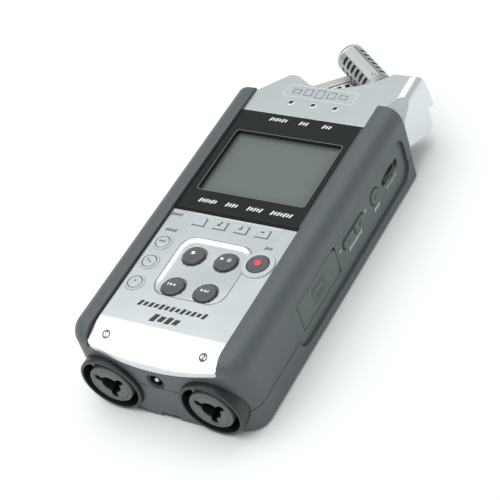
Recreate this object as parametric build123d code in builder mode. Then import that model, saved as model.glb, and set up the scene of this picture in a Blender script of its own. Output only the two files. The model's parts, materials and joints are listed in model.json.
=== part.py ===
from build123d import *
import os
from math import asin, cos, radians, sin, sqrt

os.makedirs("parts", exist_ok=True)

# Portable field recorder, lying on its back. Millimetres.
# Origin: centre of the tripod socket's mouth, on the back face.
# +X: towards the side with the jog wheel. +Y: towards the microphones. +Z: out of the face.
# Places along the body are given as distances from the jack end, through along().

# ---- Casing ----
body_width = 70.0
body_length = 131.5
body_height = 34.2
jack_end_inset = 0.6
jack_end_bow = 3.0
corner_round = 8.0
top_round = 6.5
base_round = 1.5
mic_end_round = 1.5
side_wall = 4.2
end_wall = 2.4
floor_wall = 2.0
parting_height = 10.4
end_tongue_height = 15.9
groove_depth = 0.6
groove_width = 0.35
tripod_from_jacks = 94.0
half_width = body_width / 2

# ---- Front face ----
face_sink = 1.1
face_height = body_height - face_sink
plate_wall = 1.6
seat_gap = 0.1
face_seat = face_height - plate_wall - seat_gap
ceiling_drop = 3.7
inner_ceiling = face_height - ceiling_drop
rail_width = 9.1
plate_half = half_width - rail_width
plate_gap = 0.2
plate_top = 65.5
plate_bend_start = 13.0
plate_drop = 5.1
plate_bow = 2.5
plate_corner = 1.5
head_overlap = 11.8
head_base = body_length - head_overlap
window_step = 1.7
window_bottom = plate_top + window_step
window_gap = 0.3
window_top = head_base - window_gap
window_half = plate_half - 0.1
window_rise = 0.15
glass_border = 3.6
glass_half = window_half - glass_border
glass_bottom = window_bottom + 9.5
glass_top = window_top - 10.8
glass_corner = 1.2
lcd_depth = 1.5
lcd_margin = 0.8
backlight_depth = 2.4
ridge_rows = (0.35, 1.15)
ridge_height = 0.35
ridge_width = 0.4

# ---- Keys on the face ----
key_gap = 0.3
key_travel = 0.8
key_flange = 0.8
key_flange_wall = 0.8
key_flange_gap = 0.2
ring_seat = 0.8
rim_gap = 0.05
pad_half_width = 14.6
pad_bottom = 26.6
pad_top = 54.8
pad_corner = 6.0
pad_depth = 0.4
key_radius = 3.95
key_rise = 0.7
key_dish = 0.3
key_offset = 0.5
key_half_pitch = 6.5
key_row_high = 46.0
key_row_low = 31.1
record_x = 19.0
record_from_jacks = 47.7
record_radius = 3.95
record_ring_radius = 6.15
record_ring_rise = 0.5
input_x = -21.0
input_rows = (49.2, 39.7, 29.5)
input_radius = 2.6
input_rim_radius = 3.7
input_rise = 0.5
track_pitch = 8.7
track_from_jacks = 61.7
track_length = 4.7
track_width = 3.6
track_rise = 0.3
track_flange = 0.6
strip_half = 19.8
strip_bottom = 59.5
strip_top = 65.3
strip_depth = 0.25

# ---- Side panels ----
panel_bottom = 36.4
panel_end_margin = 4.3
panel_top = body_length - panel_end_margin
panel_low = 4.6
panel_high = 24.8
panel_corner = 6.0
panel_sink = 1.2
panel_wall = 1.5
panel_gap = 0.15
control_height = 16.4
panel_face = half_width - panel_sink
panel_back = panel_face - panel_wall

# ---- Jog wheel ----
wheel_from_jacks = panel_top - 11.8
wheel_radius = 8.0
wheel_width = 2.6
wheel_proud = 1.1
wheel_x = panel_face + wheel_proud - wheel_radius
wheel_slot_gap = 0.6
wheel_chord = 2 * sqrt(wheel_radius ** 2 - (wheel_radius - wheel_proud - panel_wall) ** 2)
wheel_slot = wheel_chord + 2 * wheel_slot_gap
wheel_slot_width = 3.4
wheel_bore_gap = 0.05
axle_radius = 1.2

# ---- Other right-hand controls ----
menu_from_jacks = wheel_from_jacks - 12.8
menu_radius = 3.2
menu_rise = 0.5
menu_flange_back = 2.2
menu_flange_front = 1.4
rocker_from_jacks = 84.6
rocker_length = 16.4
rocker_width = 4.0
rocker_rise = 0.7
rocker_depth = 2.6
rocker_gap = 0.45
rocker_pin_radius = 0.8
rocker_pin_x = panel_face - rocker_depth
door_hinge = 43.0
door_end = 71.2
door_low = 9.8
door_high = 21.6
door_wall = 1.4
door_gap = 0.3
door_corner = 2.5
door_pin_radius = 0.4
card_length = 32.0
card_width = 24.0
card_wall = 2.1
card_gap = 0.3
card_travel = 1.0
card_from_jacks = 57.0
card_sink = 1.2
card_notch = 3.0
socket_frame = 1.4

# ---- Left-hand controls ----
phones_from_jacks = 47.0
volume_from_jacks = 66.0
usb_from_jacks = 88.0
power_from_jacks = 106.0
mini_jack_bore = 1.8
mini_jack_ring = 3.3
usb_width = 8.0
usb_height = 4.2
power_length = 7.0
power_travel = 2.0

# ---- Jack end ----
jack_ring_radius = 12.2
jack_side_margin = 2.4
jack_x = half_width - jack_ring_radius - jack_side_margin
jack_base_margin = 0.5
jack_height = jack_ring_radius + jack_base_margin
jack_ring_wall = 1.2
jack_bore_radius = jack_ring_radius - jack_ring_wall
jack_front = -0.8
jack_ring_depth = 5.0
jack_housing_radius = jack_ring_radius - 0.5
jack_gap = 0.05
end_tongue_half = jack_x - 0.4
jack_housing_depth = 26.0
jack_groove_depth = 15.0
insert_radius = 8.4
plug_bore_radius = 3.25
pin_circle = 5.2
pin_hole_radius = 1.7
pin_hole_depth = 14.0
insert_floor = 1.5
dc_height = 19.8
dc_bore_radius = 2.6
dc_pin_radius = 0.9
dc_wall = 0.9
dc_length = 14.0
dc_bore_depth = 12.0

# ---- Back ----
cell_radius = 7.1
cell_half_pitch = cell_radius + 0.25
cell_height = cell_radius + 1.6
cover_half = cell_half_pitch + cell_radius + 0.35
cover_length = 86.0
cover_wall = 1.4
cover_gap = 0.25
cell_length = 49.2
cell_start = 34.0
cell_wall_gap = 1.6
cell_cap = 1.2
cell_cap_radius = 2.7
contact_wall = 1.2
contact_half = 5.0
contact_top = 14.0
rib_wall = 1.2
rib_x = cell_half_pitch + cell_radius + 1.75
rib_top = 12.0
rib_overrun = 3.0
grip_rows = 6
grip_pitch = 2.2
grip_start = 66.0
grip_half = 8.0
grip_width = 0.9
grip_depth = 0.35
spine_half = 7.0
spine_height = 8.0
notch_half = 3.8
notch_height = 2.4
socket_radius = 3.05
socket_depth = 8.0
socket_wall = 2.2
speaker_from_jacks = body_length - 17.5
speaker_radius = 9.0
speaker_depth = 2.5
magnet_radius = 4.0
speaker_slots = 5
speaker_slot_pitch = 3.0
speaker_slot_width = 1.4
speaker_slot_half = 6.0
ext_mic_x = -22.0
ext_mic_from_jacks = body_length - 13.5
boss_x = half_width - 6.6
boss_rows = (32.0, body_length - 5.5)
boss_rise = 3.6
boss_radius = 2.6
screw_radius = 1.0
screw_head_radius = 1.9
screw_head_top = 1.4
screw_slot = 0.4

# ---- Boards ----
board_height = 19.3
board_wall = 1.6
board_gap = 0.5
board_half = panel_back - menu_flange_back - key_travel - board_gap
board_start = 28.8
board_end = body_length - 4.0
board_post_x = 20.0
board_post_rows = (30.2, 103.0)
board_corner = 2.0
key_board_height = inner_ceiling - 3.4
key_board_wall = 1.2
key_board_half = 27.0
key_board_start = 22.0
key_board_end = 65.0
key_post_x = 24.3
key_post_rows = (24.5, 55.8)
key_post_radius = 1.5
post_radius = 1.8

# ---- Microphone head ----
head_half = plate_half
arm_half = half_width - 0.4
arm_length = 22.5
arm_reach = body_length + arm_length
head_parting = face_height - 7.9
left_arm_top = 19.6
left_arm_inner = 9.0
peak_round = 2.5
arm_corner = 5.6
arm_tip_round = 3.0
arm_edge_round = 1.0
arm_foot_round = 4.0
arm_foot = 5.6
head_parting_knee = body_length + 2.8
head_parting_slope = 0.48
capsule_angle = 52.5
capsule_swing = 3.75
pivot_x = arm_half - 13.7
pivot_from_jacks = body_length + 13.4
barrel_radius = 5.8
capsule_gap = 1.2
upper_capsule_height = face_height - 7.3
lower_capsule_height = upper_capsule_height - 2 * barrel_radius - capsule_gap
barrel_length = 26.0
barrel_start = 2.0
barrel_pocket = barrel_radius + 0.8
barrel_base = 2.0
barrel_wall = 0.8
pivot_neck_radius = 4.0
pivot_shaft_radius = 3.0
pivot_shaft_gap = 0.05
pivot_depth = 7.0
end_ring_length = 1.6
lamp_x_pitch = 9.35
lamp_from_jacks = head_base + 7.3
lamp_radius = 0.9
lamp_sink = 0.35

door_centre_x = panel_face - door_wall / 2 - 0.05
inner_half = half_width - side_wall


def along(distance):
    """Y of a place given as its distance from the jack end."""
    return distance - tripod_from_jacks


def save(piece, name):
    piece.part.label = name
    export_step(piece.part, "parts/" + name + ".step")


def slab(x_low, x_high, y_low, y_high, z_low, z_high, corner=0.0, mode=Mode.ADD):
    """An upright block between two corners, its lengths given from the jack end."""
    centre = ((x_low + x_high) / 2, along((y_low + y_high) / 2))
    with BuildSketch(Plane.XY.offset(z_low)) as outline:
        with Locations(centre):
            if corner > 0:
                RectangleRounded(x_high - x_low, y_high - y_low, corner)
            else:
                Rectangle(x_high - x_low, y_high - y_low)
    extrude(outline.sketch, amount=z_high - z_low, mode=mode)


def disc(x, y, radius, z_low, z_high, mode=Mode.ADD):
    """An upright cylinder on the face or the back."""
    with BuildSketch(Plane.XY.offset(z_low)) as outline:
        with Locations((x, along(y))):
            Circle(radius)
    extrude(outline.sketch, amount=z_high - z_low, mode=mode)


def side_plane(side, x):
    """A plane at a distance from the middle, looking out of the right (+1) or left (-1) side."""
    return Plane(origin=(side * x, 0, 0), x_dir=(0, 1, 0), z_dir=(1, 0, 0))


def side_block(side, x_low, x_high, y, z, length, height, corner=0.0, mode=Mode.ADD):
    """A block that stands on a side panel, centred at y, z."""
    with BuildSketch(side_plane(side, x_low)) as outline:
        with Locations((along(y), z)):
            if corner > 0:
                RectangleRounded(length, height, corner)
            else:
                Rectangle(length, height)
    extrude(outline.sketch, amount=side * (x_high - x_low), mode=mode)


def side_disc(side, x_low, x_high, y, z, radius, mode=Mode.ADD):
    """A cylinder that stands on a side panel."""
    with BuildSketch(side_plane(side, x_low)) as outline:
        with Locations((along(y), z)):
            Circle(radius)
    extrude(outline.sketch, amount=side * (x_high - x_low), mode=mode)


def end_disc(x, z, radius, y_low, y_high, mode=Mode.ADD):
    """A cylinder that points out of the jack end."""
    plane = Plane(origin=(0, along(y_high), 0), x_dir=(1, 0, 0), z_dir=(0, -1, 0))
    with BuildSketch(plane) as outline:
        with Locations((x, z)):
            Circle(radius)
    extrude(outline.sketch, amount=y_high - y_low, mode=mode)


# ---------------------------------------------------------------- shared shapes
# The outer form of both casing shells: bowed jack end, soft top edge, square microphone end.
overrun = 2 * corner_round


def casing_outline(inset):
    """Plan of the casing, drawn in by an inset, past the microphone end by the overrun."""
    side = half_width - inset
    end_y = along(jack_end_inset + inset)
    corner_y = end_y + jack_end_bow
    far_y = along(body_length + overrun)
    with BuildLine() as outline:
        ThreePointArc((-side, corner_y), (0, end_y), (side, corner_y))
        Polyline((side, corner_y), (side, far_y), (-side, far_y), (-side, corner_y))
    return outline.edges()


with BuildPart() as outer_form:
    with BuildSketch(Plane.XY) as plan:
        make_face(casing_outline(0))
        fillet(plan.vertices().sort_by(Axis.Y)[:2], corner_round)
    extrude(plan.sketch, amount=body_height)
    top_edges = outer_form.faces().sort_by(Axis.Z)[-1].edges().sort_by(Axis.Y)[:-1]
    fillet(top_edges, top_round)
    base_edges = outer_form.faces().sort_by(Axis.Z)[0].edges().sort_by(Axis.Y)[:-1]
    fillet(base_edges, base_round)
    split(bisect_by=Plane(origin=(0, along(body_length), 0), z_dir=(0, -1, 0)), keep=Keep.TOP)
    fillet(outer_form.faces().sort_by(Axis.Y)[-1].edges(), mic_end_round)

# The hollow inside both shells.
with BuildPart() as hollow:
    slab(-inner_half, inner_half, jack_end_inset + jack_end_bow + end_wall, body_length - end_wall,
         floor_wall, inner_ceiling, 3.0)
    slab(-inner_half / 2, inner_half / 2, jack_end_inset + end_wall, body_length / 2,
         floor_wall, inner_ceiling - 6)

# Everything below the joint between the shells, with its tongue between the jacks.
with BuildPart() as lower_zone:
    slab(-body_width, body_width, -10, body_length + 30, -5, parting_height)
    slab(-end_tongue_half, end_tongue_half, -10, jack_end_inset + end_wall, -5, end_tongue_height)

# A shallow outer band that leaves a shadow line where the shells meet.
with BuildPart() as groove_band:
    slab(-half_width - 2, half_width + 2, -5, body_length + 5, parting_height,
         parting_height + groove_width)
    with BuildSketch(Plane.XY.offset(parting_height - 1)) as core:
        make_face(casing_outline(groove_depth))
        fillet(core.vertices().sort_by(Axis.Y)[:2], corner_round - groove_depth)
        with Locations((0, along(body_length - groove_depth + 50))):
            Rectangle(2 * body_width, 100, mode=Mode.SUBTRACT)
    extrude(core.sketch, amount=2, mode=Mode.SUBTRACT)

bend_radius = (plate_bend_start ** 2 + plate_drop ** 2) / (2 * plate_drop)
bend_turn = asin(plate_bend_start / bend_radius)


def bend_point(depth, turn):
    """A point on the face's bent lower part, a depth under its skin, at a turn from the flat."""
    radius = bend_radius - depth
    return (along(plate_bend_start) - radius * sin(turn), face_height - bend_radius + radius * cos(turn))


# The space above the seat of the face plate.
pocket_turn = 1.35 * bend_turn
with BuildPart() as face_pocket:
    with BuildSketch(Plane.YZ) as pocket_side:
        seat_depth = face_height - face_seat
        far = (along(body_length + 5), face_seat)
        start = bend_point(seat_depth, 0)
        end = bend_point(seat_depth, pocket_turn)
        roof = body_height + 5
        with BuildLine():
            Line(far, start)
            ThreePointArc(start, bend_point(seat_depth, pocket_turn / 2), end)
            Polyline(end, (end[0] - 3, end[1]), (end[0] - 3, roof), (far[0], roof), far)
        make_face()
    extrude(pocket_side.sketch, amount=plate_half + plate_gap, both=True)

key_places = {
    "stop_button": (key_offset - key_half_pitch, key_row_high),
    "play_button": (key_offset + key_half_pitch, key_row_high),
    "rewind_button": (key_offset - key_half_pitch, key_row_low),
    "forward_button": (key_offset + key_half_pitch, key_row_low),
}
input_names = ("input_button_top", "input_button_middle", "input_button_bottom")
track_xs = [key_offset + track_pitch * (index - 1.5) for index in range(4)]
panel_y = (panel_bottom + panel_top) / 2
panel_z = (panel_low + panel_high) / 2
panel_length = panel_top - panel_bottom
panel_breadth = panel_high - panel_low


def key_holes(z_low, z_high, gap):
    """Cuts the holes of every key on the face."""
    for x, row in key_places.values():
        disc(x, row, key_radius + gap, z_low, z_high, mode=Mode.SUBTRACT)
    disc(record_x, record_from_jacks, record_radius + gap, z_low, z_high, mode=Mode.SUBTRACT)
    for row in input_rows:
        disc(input_x, row, input_radius + gap, z_low, z_high, mode=Mode.SUBTRACT)
    for x in track_xs:
        slab(x - track_length / 2 - gap, x + track_length / 2 + gap,
             track_from_jacks - track_width / 2 - gap, track_from_jacks + track_width / 2 + gap,
             z_low, z_high, mode=Mode.SUBTRACT)


# ---------------------------------------------------------------- upper case
with BuildPart() as upper_case:
    add(outer_form.part)
    add(hollow.part, mode=Mode.SUBTRACT)
    for x in (-boss_x, boss_x):
        for row in boss_rows:
            disc(x, row, boss_radius, parting_height, parting_height + boss_rise)
    for x in (-key_post_x, key_post_x):
        for row in key_post_rows:
            disc(x, row, key_post_radius, key_board_height + key_board_wall, inner_ceiling + 0.5)
    add(lower_zone.part, mode=Mode.SUBTRACT)
    add(groove_band.part, mode=Mode.SUBTRACT)
    add(face_pocket.part, mode=Mode.SUBTRACT)
    slab(-glass_half - 1, glass_half + 1, glass_bottom - 1, glass_top + 1,
         inner_ceiling - 3, face_height, mode=Mode.SUBTRACT)
    key_holes(inner_ceiling - 1, face_height, key_gap)
    for x in (-jack_x, jack_x):
        end_disc(x, jack_height, jack_ring_radius, -8, jack_ring_depth, mode=Mode.SUBTRACT)
        end_disc(x, jack_height, jack_housing_radius + jack_gap, jack_ring_depth - 1,
                 jack_housing_depth, mode=Mode.SUBTRACT)
    end_disc(0, dc_height, dc_bore_radius + dc_wall, -5, jack_end_inset + end_wall + 3, mode=Mode.SUBTRACT)
    for side in (1, -1):
        side_block(side, panel_back, half_width + 2, panel_y, panel_z, panel_length, panel_breadth,
                   panel_corner, mode=Mode.SUBTRACT)
        side_block(side, inner_half - 2, half_width, panel_y, panel_z + 1, panel_length - 9,
                   panel_breadth - 8, 2, mode=Mode.SUBTRACT)
    disc(wheel_x, wheel_from_jacks, wheel_radius + wheel_slot_gap, control_height - wheel_slot_width / 2,
         control_height + wheel_slot_width / 2, mode=Mode.SUBTRACT)
    for x in (-boss_x, boss_x):
        for row in boss_rows:
            disc(x, row, screw_radius, parting_height - 1, parting_height + 3, mode=Mode.SUBTRACT)
save(upper_case, "upper_case")

# ---------------------------------------------------------------- lower case
with BuildPart() as above_lower_case:
    slab(-body_width, body_width, jack_end_inset + end_wall, body_length + 40,
         parting_height, body_height + 20)
    slab(-body_width, -end_tongue_half, -20, body_length, parting_height, body_height + 20)
    slab(end_tongue_half, body_width, -20, body_length, parting_height, body_height + 20)
    slab(-body_width, body_width, -20, body_length, end_tongue_height, body_height + 20)

with BuildPart() as lower_case:
    add(outer_form.part)
    add(hollow.part, mode=Mode.SUBTRACT)
    add(above_lower_case.part, mode=Mode.SUBTRACT)
    for x in (-boss_x, boss_x):
        for row in boss_rows:
            disc(x, row, boss_radius, floor_wall - 0.5, parting_height)
    for x in (-board_post_x, board_post_x):
        for row in board_post_rows:
            disc(x, row, post_radius, floor_wall - 0.5, board_height)
    for x in (-rib_x, rib_x):
        slab(x - rib_wall / 2, x + rib_wall / 2, cell_start - rib_overrun,
             cell_start + cell_length + rib_overrun, floor_wall - 0.5, rib_top)
    slab(-rib_x - rib_wall / 2, rib_x + rib_wall / 2, cell_start - rib_overrun,
         cell_start - cell_wall_gap, cover_wall + cover_gap, rib_top)
    slab(-spine_half, spine_half, jack_end_inset + 1, cell_start - 2, cover_wall + cover_gap, spine_height)
    disc(0, tripod_from_jacks, socket_radius + socket_wall + 1.2, floor_wall - 0.5, socket_depth)
    for x in (-jack_x, jack_x):
        end_disc(x, jack_height, jack_ring_radius, -8, jack_ring_depth, mode=Mode.SUBTRACT)
        end_disc(x, jack_height, jack_housing_radius + jack_gap, jack_ring_depth - 1,
                 jack_housing_depth, mode=Mode.SUBTRACT)
    for side in (1, -1):
        side_block(side, panel_back, half_width + 2, panel_y, panel_z, panel_length, panel_breadth,
                   panel_corner, mode=Mode.SUBTRACT)
        side_block(side, inner_half - 2, half_width, panel_y, panel_z + 1, panel_length - 9,
                   panel_breadth - 8, 2, mode=Mode.SUBTRACT)
    slab(-cover_half - cover_gap, cover_half + cover_gap, -5, cover_length + cover_gap, -1,
         cover_wall + cover_gap, mode=Mode.SUBTRACT)
    slab(-cover_half - cover_gap, cover_half + cover_gap, cell_start - cell_wall_gap,
         cover_length + cover_gap, -1, floor_wall + 0.01, mode=Mode.SUBTRACT)
    slab(-notch_half, notch_half, -5, jack_end_inset + 1.4, -1, notch_height, mode=Mode.SUBTRACT)
    disc(0, tripod_from_jacks, socket_radius + socket_wall, -1, socket_depth + 1, mode=Mode.SUBTRACT)
    disc(ext_mic_x, ext_mic_from_jacks, mini_jack_ring, -1, floor_wall + 1, mode=Mode.SUBTRACT)
    for index in range(speaker_slots):
        y = speaker_from_jacks + speaker_slot_pitch * (index - (speaker_slots - 1) / 2)
        slab(-speaker_slot_half, speaker_slot_half, y - speaker_slot_width / 2,
             y + speaker_slot_width / 2, -1, floor_wall + 1, mode=Mode.SUBTRACT)
    for x in (-boss_x, boss_x):
        for row in boss_rows:
            disc(x, row, screw_radius + 0.1, -1, parting_height + 1, mode=Mode.SUBTRACT)
            disc(x, row, screw_head_radius + 0.2, -1, screw_head_top, mode=Mode.SUBTRACT)
save(lower_case, "lower_case")

# ---------------------------------------------------------------- face plate
with BuildPart() as face_plate:
    with BuildSketch(Plane.YZ) as plate_side:
        top_far = (along(plate_top), face_height)
        top_start = bend_point(0, 0)
        top_end = bend_point(0, pocket_turn)
        under_end = bend_point(plate_wall, pocket_turn)
        under_start = bend_point(plate_wall, 0)
        under_far = (along(plate_top), face_height - plate_wall)
        with BuildLine():
            Line(top_far, top_start)
            ThreePointArc(top_start, bend_point(0, pocket_turn / 2), top_end)
            Line(top_end, under_end)
            ThreePointArc(under_end, bend_point(plate_wall, pocket_turn / 2), under_start)
            Polyline(under_start, under_far, top_far)
        make_face()
    extrude(plate_side.sketch, amount=plate_half, both=True)
    with BuildSketch(Plane.XY.offset(10)) as plate_plan:
        with BuildLine():
            ThreePointArc((-plate_half, along(plate_bow)), (0, along(0)), (plate_half, along(plate_bow)))
            Polyline((plate_half, along(plate_bow)), (plate_half, along(plate_top)),
                     (-plate_half, along(plate_top)), (-plate_half, along(plate_bow)))
        make_face()
        fillet(plate_plan.vertices().sort_by(Axis.Y)[:2], plate_corner)
    extrude(plate_plan.sketch, amount=40, mode=Mode.INTERSECT)
    slab(key_offset - pad_half_width, key_offset + pad_half_width, pad_bottom, pad_top,
         face_height - pad_depth, face_height + 1, pad_corner, mode=Mode.SUBTRACT)
    slab(-strip_half, strip_half, strip_bottom, strip_top, face_height - strip_depth,
         face_height + 1, 0.5, mode=Mode.SUBTRACT)
    key_holes(face_height - 3, face_height + 1, key_gap - 0.05)
    disc(record_x, record_from_jacks, record_ring_radius, face_height - ring_seat, face_height + 1,
         mode=Mode.SUBTRACT)
    for row in input_rows:
        disc(input_x, row, input_rim_radius, face_height - ring_seat, face_height + 1,
             mode=Mode.SUBTRACT)
save(face_plate, "face_plate")

# ---------------------------------------------------------------- window and display
with BuildPart() as screen_window:
    slab(-window_half, window_half, plate_top + 0.1, window_top, face_seat + seat_gap,
         face_height - 0.5)
    slab(-window_half, window_half, window_bottom, window_top, face_height - 0.5,
         face_height + window_rise, 0.8)
    for row in ridge_rows:
        y = plate_top + row
        slab(-window_half, window_half, y, y + ridge_width, face_height - 0.5,
             face_height + ridge_height)
    slab(-glass_half, glass_half, glass_bottom, glass_top, face_seat - 1, face_height + 1,
         glass_corner, mode=Mode.SUBTRACT)
save(screen_window, "screen_window")

lcd_back = face_seat + seat_gap - lcd_depth
with BuildPart() as lcd_panel:
    slab(-glass_half - lcd_margin, glass_half + lcd_margin, glass_bottom - lcd_margin,
         glass_top + lcd_margin, lcd_back, face_seat + seat_gap)
save(lcd_panel, "lcd_panel")

with BuildPart() as lcd_backlight:
    slab(-glass_half - lcd_margin, glass_half + lcd_margin, glass_bottom - lcd_margin,
         glass_top + lcd_margin, lcd_back - backlight_depth, lcd_back)
save(lcd_backlight, "lcd_backlight")


# ---------------------------------------------------------------- keys on the face
flange_top = inner_ceiling - key_flange_gap


def round_key(name, x, row, radius, rise, dish):
    """A round key with a dished top and a flange that keeps it under the case."""
    with BuildPart() as key:
        disc(x, row, radius + key_flange, flange_top - key_flange_wall, flange_top)
        disc(x, row, radius, flange_top, face_height + rise)
        fillet(key.faces().sort_by(Axis.Z)[-1].edges(), min(0.5, rise))
        if dish > 0:
            ball = (radius ** 2 * 0.7 + dish ** 2) / (2 * dish)
            with Locations((x, along(row), face_height + rise + ball - dish)):
                Sphere(ball, mode=Mode.SUBTRACT)
    save(key, name)
    return key


for name, (x, row) in key_places.items():
    round_key(name, x, row, key_radius, key_rise, key_dish)
round_key("record_button", record_x, record_from_jacks, record_radius, key_rise, key_dish)
for name, row in zip(input_names, input_rows):
    round_key(name, input_x, row, input_radius, input_rise, 0)

with BuildPart() as record_ring:
    disc(record_x, record_from_jacks, record_ring_radius - rim_gap, face_height - ring_seat,
         face_height + record_ring_rise)
    fillet(record_ring.faces().sort_by(Axis.Z)[-1].edges(), 0.3)
    disc(record_x, record_from_jacks, record_radius + key_gap, face_height - 2, face_height + 2,
         mode=Mode.SUBTRACT)
save(record_ring, "record_ring")

with BuildPart() as input_rims:
    for row in input_rows:
        disc(input_x, row, input_rim_radius - rim_gap, face_height - ring_seat, face_height + 0.3)
    fillet(input_rims.faces().filter_by(Axis.Z).group_by(Axis.Z)[-1].edges(), 0.2)
    for row in input_rows:
        disc(input_x, row, input_radius + key_gap, face_height - 2, face_height + 2, mode=Mode.SUBTRACT)
save(input_rims, "input_rims")

for index, x in enumerate(track_xs):
    with BuildPart() as track_button:
        slab(x - track_length / 2 - track_flange, x + track_length / 2 + track_flange,
             track_from_jacks - track_width / 2 - track_flange,
             track_from_jacks + track_width / 2 + track_flange,
             flange_top - key_flange_wall, flange_top)
        slab(x - track_length / 2, x + track_length / 2, track_from_jacks - track_width / 2,
             track_from_jacks + track_width / 2, flange_top, face_height + track_rise, 0.4)
        fillet(track_button.faces().sort_by(Axis.Z)[-1].edges(), 0.25)
    save(track_button, "track_button_" + str(index + 1))

# ---------------------------------------------------------------- boards
with BuildPart() as key_board:
    slab(-key_board_half, key_board_half, key_board_start, key_board_end, key_board_height,
         key_board_height + key_board_wall, board_corner)
save(key_board, "key_board")

with BuildPart() as main_board:
    slab(-board_half, board_half, board_start, board_end, board_height, board_height + board_wall,
         board_corner)
save(main_board, "main_board")


# ---------------------------------------------------------------- side panels
def panel_plate(side):
    """The sunk plate of one side, without its openings."""
    side_block(side, panel_back, panel_face, panel_y, panel_z, panel_length - 2 * panel_gap,
               panel_breadth - 2 * panel_gap, panel_corner - panel_gap)


door_z = (door_low + door_high) / 2
with BuildPart() as right_side_panel:
    panel_plate(1)
    side_block(1, panel_back - 1, panel_face + 1, wheel_from_jacks, control_height, wheel_slot,
               wheel_slot_width, 1.2, mode=Mode.SUBTRACT)
    side_disc(1, panel_back - 1, panel_face + 1, menu_from_jacks, control_height,
              menu_radius + key_gap, mode=Mode.SUBTRACT)
    side_block(1, panel_back - 1, panel_face + 1, rocker_from_jacks, control_height,
               rocker_length + 2 * rocker_gap, rocker_width + 2 * key_gap,
               rocker_width / 2 + 0.25, mode=Mode.SUBTRACT)
    side_block(1, panel_back - 1, panel_face + 1, (door_hinge - 1.1 + door_end + door_gap) / 2, door_z,
               door_end - door_hinge + 1.1 + door_gap, door_high - door_low + 2 * door_gap, 0.6,
               mode=Mode.SUBTRACT)
    disc(door_centre_x, door_hinge, door_pin_radius, door_low - 1, door_high + 1, mode=Mode.SUBTRACT)
save(right_side_panel, "right_side_panel")

with BuildPart() as left_side_panel:
    panel_plate(-1)
    side_disc(-1, panel_back - 1, panel_face + 1, phones_from_jacks, control_height, mini_jack_ring,
              mode=Mode.SUBTRACT)
    side_block(-1, panel_back - 1, panel_face + 1, volume_from_jacks, control_height,
               rocker_length + 2 * rocker_gap, rocker_width + 2 * key_gap,
               rocker_width / 2 + 0.25, mode=Mode.SUBTRACT)
    side_block(-1, panel_back - 1, panel_face + 1, usb_from_jacks, control_height, usb_width + 1.2,
               usb_height + 1.2, 0.8, mode=Mode.SUBTRACT)
    side_block(-1, panel_back - 1, panel_face + 1, power_from_jacks, control_height,
               power_length + 2 * power_travel + 0.8, 3.6, 0.8, mode=Mode.SUBTRACT)
save(left_side_panel, "left_side_panel")

with BuildPart() as menu_button:
    side_disc(1, panel_back - menu_flange_back, panel_back - menu_flange_front, menu_from_jacks,
              control_height, menu_radius + key_flange)
    side_disc(1, panel_back - menu_flange_front, panel_face + menu_rise, menu_from_jacks,
              control_height, menu_radius)
    fillet(menu_button.faces().sort_by(Axis.X)[-1].edges(), 0.5)
save(menu_button, "menu_button")


def side_rocker(side, name, y):
    """A long key that tips about the round rib down its back."""
    with BuildPart() as rocker:
        side_block(side, panel_face - rocker_depth, panel_face + rocker_rise, y, control_height,
                   rocker_length, rocker_width, rocker_width / 2 - 0.01)
        outer_face = rocker.faces().sort_by(Axis.X)[-1 if side > 0 else 0]
        fillet(outer_face.edges(), 0.5)
        side_block(side, panel_face + rocker_rise - 0.4, panel_face + rocker_rise + 1, y, control_height,
                   1.0, rocker_width + 1, mode=Mode.SUBTRACT)
        disc(side * rocker_pin_x, y, rocker_pin_radius, control_height - rocker_width / 2 + 0.3,
             control_height + rocker_width / 2 - 0.3)
    save(rocker, name)
    return rocker


side_rocker(1, "rec_level_rocker", rocker_from_jacks)
side_rocker(-1, "volume_rocker", volume_from_jacks)

# ---------------------------------------------------------------- jog wheel
with BuildPart() as jog_wheel:
    disc(wheel_x, wheel_from_jacks, wheel_radius, control_height - wheel_width / 2,
         control_height + wheel_width / 2)
    fillet(jog_wheel.faces().sort_by(Axis.Z)[-1].edges(), 0.4)
    fillet(jog_wheel.faces().sort_by(Axis.Z)[0].edges(), 0.4)
    with Locations((wheel_x, along(wheel_from_jacks), control_height)):
        with PolarLocations(wheel_radius + 0.35, 36):
            Cylinder(0.6, wheel_width + 1, mode=Mode.SUBTRACT)
    disc(wheel_x, wheel_from_jacks, axle_radius + wheel_bore_gap, control_height - 3,
         control_height + 3, mode=Mode.SUBTRACT)
save(jog_wheel, "jog_wheel")

carrier_top = control_height - wheel_width / 2 - 0.4
with BuildPart() as dial_carrier:
    slab(wheel_x - 5, wheel_x + 3, wheel_from_jacks - 4, wheel_from_jacks + 4, carrier_top - 1.6,
         carrier_top)
    disc(wheel_x, wheel_from_jacks, 2.2, carrier_top - 0.1, carrier_top + 0.2)
    disc(wheel_x, wheel_from_jacks, axle_radius, carrier_top - 0.5, control_height + wheel_width / 2 + 0.2)
save(dial_carrier, "dial_carrier")

rail_top = carrier_top - 1.6 - 0.3
with BuildPart() as dial_switch:
    slab(wheel_x - 6, wheel_x + 3, wheel_from_jacks - 5, wheel_from_jacks + 5, floor_wall, rail_top)
save(dial_switch, "dial_switch")

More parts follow.
